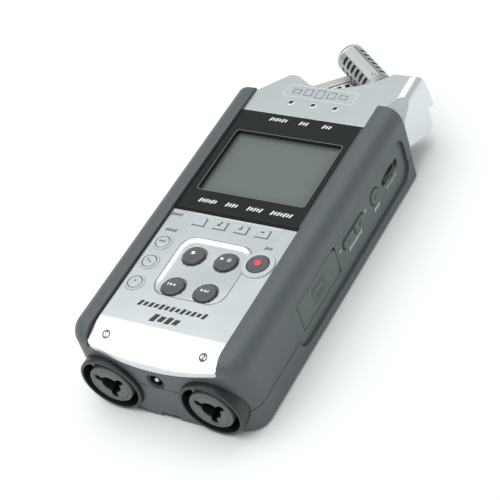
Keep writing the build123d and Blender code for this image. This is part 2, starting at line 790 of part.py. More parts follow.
# ---------------------------------------------------------------- card door, card and socket
with BuildPart() as sd_door:
    with BuildSketch(Plane.XY.offset(door_low)) as door_side:
        with BuildLine():
            inner_x = door_centre_x - door_wall / 2
            outer_x = door_centre_x + door_wall / 2
            hinge_y = along(door_hinge)
            far_y = along(door_end)
            Line((inner_x, hinge_y), (inner_x, far_y))
            Line((inner_x, far_y), (outer_x, far_y))
            Line((outer_x, far_y), (outer_x, hinge_y))
            ThreePointArc((outer_x, hinge_y), (door_centre_x, hinge_y - door_wall / 2), (inner_x, hinge_y))
        make_face()
    extrude(door_side.sketch, amount=door_high - door_low)
    fillet(sd_door.edges().filter_by(Axis.X).group_by(Axis.Y)[-1], door_corner)
    disc(door_centre_x, door_hinge, door_pin_radius + 0.05, door_low - 1, door_high + 1,
         mode=Mode.SUBTRACT)
save(sd_door, "sd_door")

with BuildPart() as sd_door_pin:
    disc(door_centre_x, door_hinge, door_pin_radius, door_low - 0.8, door_high + 0.8)
save(sd_door_pin, "sd_door_pin")

card_z = board_height - 0.8 - card_wall
card_low_y = card_from_jacks - card_width / 2
card_high_y = card_from_jacks + card_width / 2
card_outer_x = panel_back - card_sink
with BuildPart() as sd_card:
    slab(card_outer_x - card_length, card_outer_x, card_low_y, card_high_y,
         card_z, card_z + card_wall)
    chamfer(sd_card.edges().filter_by(Axis.Z).sort_by(Axis.X)[0], card_notch)
save(sd_card, "sd_card")

with BuildPart() as sd_socket:
    slab(card_outer_x - card_length - card_travel - 1.6, card_outer_x - 4, card_low_y - socket_frame,
         card_high_y + socket_frame, card_z - card_gap - 0.3, board_height)
    slab(card_outer_x - card_length - card_travel - card_gap, card_outer_x,
         card_low_y - card_gap, card_high_y + card_gap,
         card_z - card_gap, card_z + card_wall + card_gap, mode=Mode.SUBTRACT)
save(sd_socket, "sd_socket")


# ---------------------------------------------------------------- left-hand controls
def mini_jack(name, place_ring, place_body, place_bore):
    """A small audio socket: a ring at the skin, a body behind it and a bore through the ring."""
    with BuildPart() as jack:
        place_ring()
        place_body()
        place_bore()
    save(jack, name)
    return jack


mini_jack(
    "headphone_jack",
    lambda: side_disc(-1, panel_back - 1, panel_face + 0.2, phones_from_jacks, control_height,
                      mini_jack_ring - 0.05),
    lambda: side_block(-1, panel_back - 14, panel_back, phones_from_jacks, control_height - 0.6, 8, 6.4),
    lambda: side_disc(-1, panel_back - 13, panel_face + 2, phones_from_jacks, control_height,
                      mini_jack_bore, mode=Mode.SUBTRACT))
mini_jack(
    "ext_mic_jack",
    lambda: disc(ext_mic_x, ext_mic_from_jacks, mini_jack_ring - 0.05, 0.2, floor_wall + 1),
    lambda: slab(ext_mic_x - 4, ext_mic_x + 4, ext_mic_from_jacks - 3.6, ext_mic_from_jacks + 3.6,
                 floor_wall, floor_wall + 13),
    lambda: disc(ext_mic_x, ext_mic_from_jacks, mini_jack_bore, -1, floor_wall + 12,
                 mode=Mode.SUBTRACT))

with BuildPart() as usb_port:
    side_block(-1, panel_back - 9, panel_face - 0.4, usb_from_jacks, control_height, usb_width, usb_height,
               0.6)
    side_block(-1, panel_back - 8, panel_face + 1, usb_from_jacks, control_height, usb_width - 1,
               usb_height - 1, 0.4, mode=Mode.SUBTRACT)
    side_block(-1, panel_back - 8.5, panel_back - 1, usb_from_jacks, control_height, usb_width - 3, 0.9)
save(usb_port, "usb_port")

with BuildPart() as power_switch:
    side_block(-1, panel_back - 1.6, panel_back - 0.4, power_from_jacks, control_height,
               power_length + 2, 4.6)
    side_block(-1, panel_back - 0.6, panel_face + 0.9, power_from_jacks, control_height, power_length, 2.8,
               0.6)
    for offset_y in (-2, -1, 0, 1, 2):
        side_block(-1, panel_face + 0.6, panel_face + 2, power_from_jacks + offset_y, control_height,
                   0.4, 4, mode=Mode.SUBTRACT)
save(power_switch, "power_switch")

# ---------------------------------------------------------------- jack end
lobe_turns = (90 + 120, 90 - 120, 90)
for side, side_name in ((-1, "left"), (1, "right")):
    centre_x = side * jack_x
    with BuildPart() as combo_jack:
        end_disc(centre_x, jack_height, jack_ring_radius - jack_gap, jack_front, jack_ring_depth)
        fillet(combo_jack.faces().sort_by(Axis.Y)[0].edges(), 0.6)
        end_disc(centre_x, jack_height, jack_housing_radius, jack_ring_depth - 0.5,
                 jack_housing_depth)
        end_disc(centre_x, jack_height, jack_bore_radius, jack_front - 1, jack_groove_depth,
                 mode=Mode.SUBTRACT)
        end_disc(centre_x, jack_height, insert_radius, jack_groove_depth - 1,
                 jack_housing_depth - insert_floor, mode=Mode.SUBTRACT)
    save(combo_jack, "combo_jack_" + side_name)

    with BuildPart() as combo_insert:
        end_disc(centre_x, jack_height, insert_radius - jack_gap, jack_front + 0.1,
                 jack_housing_depth - insert_floor)
        fillet(combo_insert.faces().sort_by(Axis.Y)[0].edges(), 0.4)
        end_disc(centre_x, jack_height, plug_bore_radius, jack_front - 1,
                 jack_housing_depth - 2 * insert_floor,
                 mode=Mode.SUBTRACT)
        for turn in lobe_turns:
            lobe_x = centre_x + pin_circle * cos(radians(turn))
            lobe_z = jack_height - pin_circle * sin(radians(turn))
            end_disc(lobe_x, lobe_z, pin_hole_radius, jack_front - 1, pin_hole_depth, mode=Mode.SUBTRACT)
    save(combo_insert, "combo_insert_" + side_name)

with BuildPart() as dc_jack:
    end_disc(0, dc_height, dc_bore_radius + dc_wall - jack_gap, jack_end_inset + 0.3, dc_length)
    end_disc(0, dc_height, dc_bore_radius, -2, dc_bore_depth, mode=Mode.SUBTRACT)
    end_disc(0, dc_height, dc_pin_radius, jack_end_inset + 1, dc_bore_depth + 0.5)
save(dc_jack, "dc_jack")

# ---------------------------------------------------------------- battery bay
with BuildPart() as battery_cover:
    slab(-cover_half, cover_half, jack_end_inset + 0.2, cover_length, 0, cover_wall)
    for index in range(grip_rows):
        y = grip_start + grip_pitch * index
        slab(-grip_half, grip_half, y, y + grip_width, -0.5, grip_depth, mode=Mode.SUBTRACT)
    slab(-notch_half, notch_half, -1, jack_end_inset + 1.4, -1, 0.7, mode=Mode.SUBTRACT)
save(battery_cover, "battery_cover")


# Two AA cells lying along the body, one turned round.
with BuildPart() as battery_cells:
    for x, turned in ((-cell_half_pitch, False), (cell_half_pitch, True)):
        first = cell_start + cell_cap - 0.2 if turned else cell_start
        tip = cell_start if turned else cell_start + cell_length - cell_cap
        end_disc(x, cell_height, cell_radius, first, first + cell_length - cell_cap + 0.2)
        end_disc(x, cell_height, cell_cap_radius, tip, tip + cell_cap)
save(battery_cells, "battery_cells")

with BuildPart() as battery_contacts:
    for y_low in (cell_start - contact_wall, cell_start + cell_length):
        for x in (-cell_half_pitch, cell_half_pitch):
            slab(x - contact_half, x + contact_half, y_low, y_low + contact_wall,
                 floor_wall + 0.4, contact_top)
save(battery_contacts, "battery_contacts")

with BuildPart() as tripod_insert:
    disc(0, tripod_from_jacks, socket_radius + socket_wall, 0, socket_depth)
    disc(0, tripod_from_jacks, socket_radius, -1, socket_depth - 1.2, mode=Mode.SUBTRACT)
save(tripod_insert, "tripod_insert")

with BuildPart() as speaker:
    disc(0, speaker_from_jacks, speaker_radius, floor_wall, floor_wall + speaker_depth)
    disc(0, speaker_from_jacks, magnet_radius, floor_wall + speaker_depth,
         floor_wall + 2 * speaker_depth)
save(speaker, "speaker")

with BuildPart() as case_screws:
    for x in (-boss_x, boss_x):
        for row in boss_rows:
            disc(x, row, screw_head_radius, 0.3, screw_head_top)
            disc(x, row, screw_radius, screw_head_top, parting_height + boss_rise - 1)
            for half_x, half_y in ((3 * screw_slot, screw_slot / 2), (screw_slot / 2, 3 * screw_slot)):
                slab(x - half_x, x + half_x, row - half_y, row + half_y, 0, 0.8, mode=Mode.SUBTRACT)
save(case_screws, "case_screws")

# ---------------------------------------------------------------- microphone head
def past_casing(distance):
    """Y of a place given as its distance past the casing's microphone end."""
    return along(body_length + distance)


# Side view of the whole head: flat top, tip that leans back, underside that falls to the arms.
arm_tip_high = (past_casing(18.7), face_height)
arm_tip_mid = (past_casing(22.1), 16.0)
arm_tip_low = (past_casing(22.3), 9.0)
arm_under = (past_casing(18.9), arm_foot)


def head_side_profile():
    """Outline of the head seen from the side, from the base to the arm tips."""
    with BuildLine() as outline:
        Line((along(head_base), face_height), arm_tip_high)
        ThreePointArc(arm_tip_high, (past_casing(21.1), 24.5), arm_tip_mid)
        ThreePointArc(arm_tip_mid, (past_casing(22.4), 12.0), arm_tip_low)
        ThreePointArc(arm_tip_low, (past_casing(21.4), 6.6), arm_under)
        Polyline(arm_under, (past_casing(0), 14.6), (past_casing(0), face_height - plate_wall),
                 (along(head_base), face_height - plate_wall), (along(head_base), face_height))
    return outline.edges()


neck_middle = (0, past_casing(5.3))
neck_left = (-6.0, past_casing(5.9))
peak_left = (-16.0, past_casing(10.1))


def arm_side(side):
    """One side of the head's plan, from the middle out to the arm, as a list of edges."""
    inner_end = (side * 9.0, past_casing(7.1))
    tip_inner = (side * (arm_half - 7.2), past_casing(21.7))
    tip_outer = (side * arm_half, along(arm_reach))
    with BuildLine() as outline:
        ThreePointArc(neck_middle, (side * 4.6, past_casing(5.7)), inner_end)
        ThreePointArc(inner_end, (side * (arm_half - 16.2), past_casing(12.3)), tip_inner)
        Polyline(tip_inner, (tip_inner[0] + side * 1.2, along(arm_reach)), tip_outer,
                 (side * arm_half, along(body_length)))
    return outline.edges()


def tall_extrude(sketch, mode=Mode.ADD):
    extrude(sketch, amount=60, both=True, mode=mode)


# Plan of the front shell: neck between the rails, low left shoulder, full right arm.
with BuildPart() as front_plan:
    with BuildSketch(Plane.XY) as front_outline:
        with BuildLine() as left_edge:
            Polyline((arm_half, along(body_length)), (head_half, along(body_length)),
                     (head_half, along(head_base)), (-head_half, along(head_base)),
                     (-head_half, past_casing(-1.1)), peak_left, (-12.6, past_casing(9.7)), neck_left)
            ThreePointArc(neck_left, (-3, past_casing(5.45)), neck_middle)
        make_face(left_edge.edges() + arm_side(1))
        corners = front_outline.vertices()
        fillet(corners.sort_by_distance(Vertex(*peak_left, 0))[0], peak_round)
        fillet(corners.sort_by_distance(Vertex(arm_half, along(arm_reach), 0))[0], arm_corner)
    tall_extrude(front_outline.sketch)

with BuildPart() as rear_plan:
    with BuildSketch(Plane.XY) as rear_outline:
        with BuildLine() as wall_edge:
            Line((arm_half, along(body_length)), (-arm_half, along(body_length)))
        make_face(arm_side(1) + arm_side(-1) + wall_edge.edges())
        for x in (-arm_half, arm_half):
            outer = rear_outline.vertices().sort_by_distance(Vertex(x, along(arm_reach), 0))[0]
            fillet(outer, arm_corner)
    tall_extrude(rear_outline.sketch)

with BuildPart() as head_form:
    with BuildSketch(Plane.YZ) as head_side:
        make_face(head_side_profile())
        fillet(head_side.vertices().sort_by_distance(Vertex(*arm_tip_high, 0))[0], arm_tip_round)
    tall_extrude(head_side.sketch)

# End view of the head: the arms' outer edges are rounded, most of all at the foot.
with BuildPart() as head_end:
    with BuildSketch(Plane.XZ) as head_end_view:
        with Locations((0, (face_height + arm_foot) / 2)):
            Rectangle(2 * arm_half, face_height - arm_foot)
        fillet(head_end_view.vertices().group_by(Axis.Z)[0], arm_foot_round)
        fillet(head_end_view.vertices().group_by(Axis.Z)[-1], arm_edge_round)
    extrude(head_end_view.sketch, amount=body_length + 100, both=True)

# The part of space above the joint between the two head shells.
knee = (along(head_parting_knee), head_parting)
parting_far = (along(head_parting_knee + 40), head_parting - 40 * head_parting_slope)
with BuildPart() as above_head_parting:
    with BuildSketch(Plane.YZ) as parting_side:
        with BuildLine():
            Polyline((along(60), head_parting), knee, parting_far, (parting_far[0], 60),
                     (along(60), 60), (along(60), head_parting))
        make_face()
    tall_extrude(parting_side.sketch)


def arm_axis(side, swing=0.0):
    """Direction of an arm's pivot, or of its capsule when turned by the swing."""
    angle = radians(capsule_angle - capsule_swing + swing)
    return (-side * sin(angle), cos(angle), 0)


def arm_plane(side, height, distance, swing=0.0):
    """A plane across the pivot axis of one arm, at a distance outwards from the pivot point."""
    axis = arm_axis(side, swing)
    point = (side * pivot_x + axis[0] * distance, along(pivot_from_jacks) + axis[1] * distance, height)
    return Plane(origin=point, z_dir=axis, x_dir=(0, 0, 1))


def arm_cylinder(side, height, radius, start, length, swing=0.0, mode=Mode.ADD):
    with BuildSketch(arm_plane(side, height, start, swing)) as outline:
        Circle(radius)
    extrude(outline.sketch, amount=length, mode=mode)


def capsule_room(side, height):
    """Cuts an arm's socket: the pocket of the barrel and the bore of its pivot."""
    arm_cylinder(side, height, barrel_pocket, 0.6, 40, mode=Mode.SUBTRACT)
    arm_cylinder(side, height, pivot_shaft_radius + pivot_shaft_gap, -pivot_depth - 0.4,
                 pivot_depth + 6, mode=Mode.SUBTRACT)


# The corner taken off where the right arm grows out of the casing's rounded edge.
shoulder_near = Vector(arm_half - 6.5, past_casing(0.5), face_height)
shoulder_far = Vector(arm_half, past_casing(10.9), face_height)
shoulder_low = Vector(arm_half, past_casing(0), face_height - 7.3)
shoulder_normal = (shoulder_far - shoulder_near).cross(shoulder_low - shoulder_near)
if shoulder_normal.X < 0:
    shoulder_normal = shoulder_normal * -1
with BuildPart() as shoulder_cut:
    with BuildSketch(Plane(origin=shoulder_near, z_dir=shoulder_normal)):
        Rectangle(120, 120)
    extrude(amount=30)
    slab(0, body_width, body_length, body_length + 30, 0, 60, mode=Mode.INTERSECT)

with BuildPart() as head_front_shell:
    add(head_form.part)
    add(head_end.part, mode=Mode.INTERSECT)
    add(front_plan.part, mode=Mode.INTERSECT)
    add(above_head_parting.part, mode=Mode.INTERSECT)
    add(shoulder_cut.part, mode=Mode.SUBTRACT)
    capsule_room(1, upper_capsule_height)
    for index in (-1, 0, 1):
        disc(index * lamp_x_pitch + key_offset, lamp_from_jacks, lamp_radius, 20, 60,
             mode=Mode.SUBTRACT)
save(head_front_shell, "head_front_shell")

with BuildPart() as head_rear_shell:
    add(head_form.part)
    add(head_end.part, mode=Mode.INTERSECT)
    add(rear_plan.part, mode=Mode.INTERSECT)
    add(above_head_parting.part, mode=Mode.SUBTRACT)
    slab(-body_width, body_width, head_base - 20, body_length, 0, 60, mode=Mode.SUBTRACT)
    slab(-body_width, -left_arm_inner, head_base - 20, arm_reach + 10, left_arm_top, 60,
         mode=Mode.SUBTRACT)
    capsule_room(-1, lower_capsule_height)
    capsule_room(1, upper_capsule_height)
save(head_rear_shell, "head_rear_shell")

with BuildPart() as mode_lamps:
    for index in (-1, 0, 1):
        disc(index * lamp_x_pitch + key_offset, lamp_from_jacks, lamp_radius, face_seat,
             face_height - lamp_sink)
save(mode_lamps, "mode_lamps")

# ---------------------------------------------------------------- microphone capsules
for side, level, height in ((1, "upper", upper_capsule_height), (-1, "lower", lower_capsule_height)):
    with BuildPart() as capsule_pivot:
        arm_cylinder(side, height, pivot_shaft_radius, -pivot_depth, pivot_depth + 1.2)
        arm_cylinder(side, height, pivot_neck_radius, 1.0, 1.4)
        arm_cylinder(side, height, barrel_radius - 1.2, barrel_start, barrel_base, capsule_swing)
    save(capsule_pivot, "capsule_pivot_" + level)

    with BuildPart() as capsule_barrel:
        arm_cylinder(side, height, barrel_radius, barrel_start + barrel_base,
                     barrel_length - barrel_base, capsule_swing)
        arm_cylinder(side, height, barrel_radius - barrel_wall, barrel_start + 2 * barrel_base, barrel_length,
                     capsule_swing, mode=Mode.SUBTRACT)
    save(capsule_barrel, "capsule_barrel_" + level)

    with BuildPart() as capsule_ring:
        arm_cylinder(side, height, barrel_radius, barrel_start + barrel_length, end_ring_length,
                     capsule_swing)
        arm_cylinder(side, height, barrel_radius - 1.2, barrel_start + barrel_length - 1, 5,
                     capsule_swing, mode=Mode.SUBTRACT)
    save(capsule_ring, "capsule_ring_" + level)

    with BuildPart() as capsule_element:
        arm_cylinder(side, height, barrel_radius - barrel_wall, barrel_start + 12, barrel_length - 13,
                     capsule_swing)
    save(capsule_element, "capsule_element_" + level)
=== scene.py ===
# %% [markdown]
# # A portable field recorder, finished in Blender
# The recorder was designed as a CAD assembly: casing shells, keys, sockets, a dial and two crossed
# microphone capsules. This lesson loads that assembly as a fixed frame and gives it its looks:
# rubber, satin silver paint, gloss black, brushed metal, printed symbols and slotted capsule tubes.
# Everything is in metres and every new piece rides on a body of the frame.

# %% Load the frame
import bmesh
import bpy
import json
from math import cos, pi, radians, sin, sqrt
from mathutils import Matrix, Vector
from mathutils.bvhtree import BVHTree


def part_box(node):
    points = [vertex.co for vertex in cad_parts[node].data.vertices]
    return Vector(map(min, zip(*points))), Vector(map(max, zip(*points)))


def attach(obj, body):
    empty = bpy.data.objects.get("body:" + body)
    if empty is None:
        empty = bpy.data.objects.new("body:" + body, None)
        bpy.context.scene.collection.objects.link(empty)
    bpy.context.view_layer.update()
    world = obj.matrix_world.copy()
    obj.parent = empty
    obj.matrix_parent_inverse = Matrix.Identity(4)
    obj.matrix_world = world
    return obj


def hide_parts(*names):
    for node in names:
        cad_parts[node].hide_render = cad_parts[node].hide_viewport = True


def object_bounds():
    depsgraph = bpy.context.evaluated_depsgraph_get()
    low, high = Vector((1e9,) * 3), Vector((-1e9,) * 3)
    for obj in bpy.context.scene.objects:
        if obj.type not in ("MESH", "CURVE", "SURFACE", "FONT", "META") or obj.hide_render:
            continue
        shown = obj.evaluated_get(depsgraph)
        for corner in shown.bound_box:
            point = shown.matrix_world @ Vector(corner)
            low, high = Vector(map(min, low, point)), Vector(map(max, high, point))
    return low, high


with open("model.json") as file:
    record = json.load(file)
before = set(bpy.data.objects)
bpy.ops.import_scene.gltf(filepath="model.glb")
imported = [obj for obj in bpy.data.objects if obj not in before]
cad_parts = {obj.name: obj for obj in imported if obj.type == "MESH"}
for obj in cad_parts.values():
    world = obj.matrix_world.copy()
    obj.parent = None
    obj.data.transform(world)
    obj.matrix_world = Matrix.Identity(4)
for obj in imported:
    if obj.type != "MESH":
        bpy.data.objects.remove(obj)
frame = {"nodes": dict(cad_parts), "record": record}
cad_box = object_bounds()
MM = 0.001
nodes = frame["nodes"]

# %% [markdown]
# ## Camera, floor and light
# A long lens held close to 42 degrees up and 43 degrees round shows the face, the dial side and the
# sockets together. The camera is rolled a little, as a product picture is, and its shift moves the
# picture on the sensor without turning the lens.

# %% Camera
scene = bpy.context.scene
camera_place = Vector((0.297118, -0.356213, 0.422982))
camera_round, camera_up, camera_roll = radians(42.627), radians(42.493), radians(-20.42)
back = Vector((sin(camera_round) * cos(camera_up), -cos(camera_round) * cos(camera_up), sin(camera_up)))
camera = bpy.data.objects.new("camera", bpy.data.cameras.new("camera"))
scene.collection.objects.link(camera)
camera.location = camera_place
camera.rotation_mode = "QUATERNION"
level = (-back).to_track_quat("-Z", "Y").to_matrix()
camera.rotation_quaternion = (level @ Matrix.Rotation(camera_roll, 3, "Z")).to_quaternion()
camera.data.lens = 121.1
camera.data.shift_x, camera.data.shift_y = 0.0254, 0.0066
camera.data.clip_start, camera.data.clip_end = 0.01, 20.0
scene.camera = camera
print("camera stands", round(camera_place.length, 3), "m from the tripod socket")

# %% [markdown]
# Glossy and metallic surfaces look like what they mirror, so the light is planned by reflection.
# Seen from this camera, the flat silver plate mirrors a spot up and behind, left of the head: that
# spot stays plain grey. The curved foot of the plate, the head's lip and the key pad's slope lean
# towards the sockets and mirror the ceiling, so one wide panel hangs there and makes them glow. A
# smaller one reaches the slope along the pad's left side.

# %% Lights and world
scene.view_settings.view_transform = "Standard"


def ceiling_panel(name, middle, width, depth, power):
    """A rectangular area light that faces straight down."""
    light = bpy.data.lights.new(name, "AREA")
    light.shape, light.size, light.size_y, light.energy = "RECTANGLE", width, depth, power
    panel = bpy.data.objects.new(name, light)
    scene.collection.objects.link(panel)
    panel.location = middle
    return panel


ceiling_panel("ceiling_panel", (-0.35, -0.33, 1.0), 1.5, 1.70, 11.5)
ceiling_panel("far_panel", (0.10, 0.85, 1.0), 1.0, 0.6, 2.6)
world = bpy.data.worlds.new("pale_room")
scene.world = world
world.use_nodes = True
world.node_tree.nodes["Background"].inputs["Color"].default_value = (0.93, 0.975, 0.985, 1.0)
world.node_tree.nodes["Background"].inputs["Strength"].default_value = 0.60

# %% [markdown]
# ## Shader groups shared by many finishes
# Grain, mottling, rubbed edges with their painted highlight and brushing turn up in nearly every
# finish of the recorder. Each is a node group with named inputs, so that a finish only states how much of it
# shows.

# %% Helpers for shader groups


def new_group(name, inputs, outputs):
    """An empty shader group with named float inputs, given as defaults, and named outputs."""
    group = bpy.data.node_groups.new(name, "ShaderNodeTree")
    for label, value in inputs.items():
        socket = group.interface.new_socket(label, in_out="INPUT", socket_type="NodeSocketFloat")
        socket.default_value = value
    for label, kind in outputs.items():
        group.interface.new_socket(label, in_out="OUTPUT", socket_type=kind)
    tree_in = group.nodes.new("NodeGroupInput")
    tree_out = group.nodes.new("NodeGroupOutput")
    return group, tree_in, tree_out


def math_node(tree, operation, first, second=None, clamp=False):
    """A Math node fed by sockets or plain numbers; returns its output socket."""
    node = tree.nodes.new("ShaderNodeMath")
    node.operation, node.use_clamp = operation, clamp
    for index, value in enumerate((first, second)):
        if isinstance(value, (int, float)):
            node.inputs[index].default_value = value
        elif value is not None:
            tree.links.new(value, node.inputs[index])
    return node.outputs[0]


def noise(tree, vector, scale, detail=2.0, roughness=0.5):
    """A noise value in object space."""
    node = tree.nodes.new("ShaderNodeTexNoise")
    tree.links.new(vector, node.inputs["Vector"])
    node.inputs["Detail"].default_value = detail
    node.inputs["Roughness"].default_value = roughness
    if isinstance(scale, (int, float)):
        node.inputs["Scale"].default_value = scale
    else:
        tree.links.new(scale, node.inputs["Scale"])
    return node.outputs["Fac"]


# %% [markdown]
# Fine grain is what a spark-eroded mould or a soft-touch coating leaves: an even field of tiny
# bumps. Two noise fields of different pitch are added, so that no pattern repeats.

# %% Fine grain group
grain_group, g_in, g_out = new_group(
    "fine_grain", {"Scale": 3000.0}, {"Height": "NodeSocketFloat", "Shade": "NodeSocketFloat"})
place = grain_group.nodes.new("ShaderNodeTexCoord").outputs["Object"]
fine = noise(grain_group, place, g_in.outputs["Scale"], 1.0)
coarse = noise(grain_group, place, math_node(grain_group, "MULTIPLY", g_in.outputs["Scale"], 0.31), 2.0)
both = math_node(grain_group, "ADD", math_node(grain_group, "MULTIPLY", fine, 0.6),
                 math_node(grain_group, "MULTIPLY", coarse, 0.4))
grain_group.links.new(both, g_out.inputs["Height"])
grain_group.links.new(math_node(grain_group, "MULTIPLY_ADD", both, 1.6, True), g_out.inputs["Shade"])
print("group", grain_group.name, "gives", [s.name for s in g_out.inputs if s.name])

# %% [markdown]
# Mottle is the slow unevenness that hands and handling leave: patches a few millimetres wide that
# are a touch darker and glossier than the rest.

# %% Mottle group
mottle_group, m_in, m_out = new_group("handled_mottle", {"Scale": 60.0}, {"Mask": "NodeSocketFloat"})
place = mottle_group.nodes.new("ShaderNodeTexCoord").outputs["Object"]
patch = noise(mottle_group, place, m_in.outputs["Scale"], 4.0, 0.62)
patch = math_node(mottle_group, "MULTIPLY_ADD", patch, 2.2)
patch.node.inputs[2].default_value = -0.6
patch.node.use_clamp = True
mottle_group.links.new(patch, m_out.inputs["Mask"])

# %% [markdown]
# Rubbed edges come from comparing the real surface direction with one that is rounded over a small
# radius: they differ only near an edge. Noise breaks the line up, as real wear does. The lighter edge
# colour is partly real wear and partly a painted highlight where the edges catch light. The rounded
# direction is given out too, because it makes every sharp edge catch a thin light.

# %% Edge wear and painted highlight group
wear_highlight_group, e_in, e_out = new_group(
    "rubbed_edges_and_highlight", {"Width": 0.0003, "Amount": 0.5},
    {"Mask": "NodeSocketFloat", "Normal": "NodeSocketVector"})
rounded = wear_highlight_group.nodes.new("ShaderNodeBevel")
rounded.samples = 4
wear_highlight_group.links.new(e_in.outputs["Width"], rounded.inputs["Radius"])
facing = wear_highlight_group.nodes.new("ShaderNodeVectorMath")
facing.operation = "DOT_PRODUCT"
wear_highlight_group.links.new(rounded.outputs["Normal"], facing.inputs[0])
wear_highlight_group.links.new(wear_highlight_group.nodes.new("ShaderNodeNewGeometry").outputs["Normal"], facing.inputs[1])
near_edge = math_node(wear_highlight_group, "SUBTRACT", 1.0, facing.outputs["Value"])
near_edge = math_node(wear_highlight_group, "MULTIPLY", near_edge, 5.0, True)
place = wear_highlight_group.nodes.new("ShaderNodeTexCoord").outputs["Object"]
chips = math_node(wear_highlight_group, "MULTIPLY_ADD", noise(wear_highlight_group, place, 900.0, 3.0, 0.7), 2.4)
chips.node.inputs[2].default_value = -0.55
chips.node.use_clamp = True
wear_and_highlight_mask = math_node(wear_highlight_group, "MULTIPLY", math_node(wear_highlight_group, "MULTIPLY", near_edge, chips),
                 e_in.outputs["Amount"], True)
wear_highlight_group.links.new(wear_and_highlight_mask, e_out.inputs["Mask"])
wear_highlight_group.links.new(rounded.outputs["Normal"], e_out.inputs["Normal"])

# %% [markdown]
# Brushed metal is noise stretched a hundred times along one direction. The capsule tubes and the
# bare steel parts use it.

# %% Brushed group
brush_group, b_in, b_out = new_group(
    "brushed_lines", {"Along X": 40.0, "Along Y": 2500.0, "Along Z": 2500.0}, {"Height": "NodeSocketFloat"})
stretch = brush_group.nodes.new("ShaderNodeVectorMath")
stretch.operation = "MULTIPLY"
rates = brush_group.nodes.new("ShaderNodeCombineXYZ")
for index, label in enumerate(("Along X", "Along Y", "Along Z")):
    brush_group.links.new(b_in.outputs[label], rates.inputs[index])
brush_group.links.new(brush_group.nodes.new("ShaderNodeTexCoord").outputs["Object"], stretch.inputs[0])
brush_group.links.new(rates.outputs[0], stretch.inputs[1])
brush_group.links.new(noise(brush_group, stretch.outputs[0], 1.0, 2.0), b_out.inputs["Height"])

# %% [markdown]
# ## One function for a finish
# A finish is a Principled shader with those groups wired in: grain and mottle move its colour and
# its gloss a little, edges show a lighter colour that is partly the colour underneath and partly a
# painted highlight, and bump takes the grain's height over the rounded edge direction. Values that
# never vary stay on the shader's own sockets.

# %% The finish function


def put_group(tree, group, **values):
    """Places a shared group in a material and sets its inputs by name."""
    node = tree.nodes.new("ShaderNodeGroup")
    node.node_tree = group
    for label, value in values.items():
        node.inputs[label.replace("_", " ")].default_value = value
    return node


def mix_colour(tree, factor, first, second):
    """A colour mix of two colours, or of a socket and a colour; returns its output."""
    node = tree.nodes.new("ShaderNodeMix")
    node.data_type = "RGBA"
    tree.links.new(factor, node.inputs["Factor"])
    for socket, value in ((node.inputs[6], first), (node.inputs[7], second)):
        if isinstance(value, tuple):
            socket.default_value = (*value, 1.0)
        else:
            tree.links.new(value, socket)
    return node.outputs[2]


def shade(colour, factor):
    """A colour made lighter or darker by a factor."""
    return tuple(min(1.0, channel * factor) for channel in colour)


def finish(name, colour, roughness, metallic=0.0, grain=3000.0, grain_depth=0.00001, spread=0.08,
           mottle=60.0, edge=0.0003, wear_and_highlight=0.3, wear_and_highlight_colour=None, brushed=None, **fixed):
    """A procedural material with grain, mottle, and rubbed edges that also carry a painted highlight."""
    material = bpy.data.materials.new(name)
    material.use_nodes = True
    tree = material.node_tree
    shader = tree.nodes["Principled BSDF"]
    grain_node = put_group(tree, grain_group, Scale=grain)
    mottle_node = put_group(tree, mottle_group, Scale=mottle)
    wear_highlight_node = put_group(tree, wear_highlight_group, Width=edge, Amount=wear_and_highlight)
    base = mix_colour(tree, grain_node.outputs["Height"], shade(colour, 1 - spread),
                      shade(colour, 1 + spread))
    base = mix_colour(tree, mottle_node.outputs["Mask"], base, shade(colour, 1 - spread / 2))
    # Edges take a lighter colour: partly wear, partly a painted highlight.
    base = mix_colour(tree, wear_highlight_node.outputs["Mask"], base, wear_and_highlight_colour or shade(colour, 1.7))
    tree.links.new(base, shader.inputs["Base Color"])
    gloss = tree.nodes.new("ShaderNodeMapRange")
    gloss.inputs["To Min"].default_value = min(1.0, roughness * 1.1)
    gloss.inputs["To Max"].default_value = roughness * 0.88
    tree.links.new(mottle_node.outputs["Mask"], gloss.inputs["Value"])
    tree.links.new(gloss.outputs["Result"], shader.inputs["Roughness"])
    height = grain_node.outputs["Height"]
    if brushed:
        lines = put_group(tree, brush_group, **brushed)
        height = math_node(tree, "ADD", lines.outputs["Height"], math_node(tree, "MULTIPLY", height, 0.2))
    bump = tree.nodes.new("ShaderNodeBump")
    bump.inputs["Strength"].default_value = 0.6
    bump.inputs["Distance"].default_value = grain_depth
    tree.links.new(height, bump.inputs["Height"])
    tree.links.new(wear_highlight_node.outputs["Normal"], bump.inputs["Normal"])
    tree.links.new(bump.outputs["Normal"], shader.inputs["Normal"])
    shader.inputs["Metallic"].default_value = metallic
    for label, value in fixed.items():
        shader.inputs[label.replace("_", " ")].default_value = value
    material.diffuse_color = (*colour, 1.0)
    return material


# %% [markdown]
# ## The recorder's own finishes
# Colours are linear values. The casing is a soft-touch coating over plastic: dark grey with a green
# cast, matt, with a slight sheen where the light grazes. The plate and head are satin silver paint,
# half way between metal and plastic. The window border is gloss black.

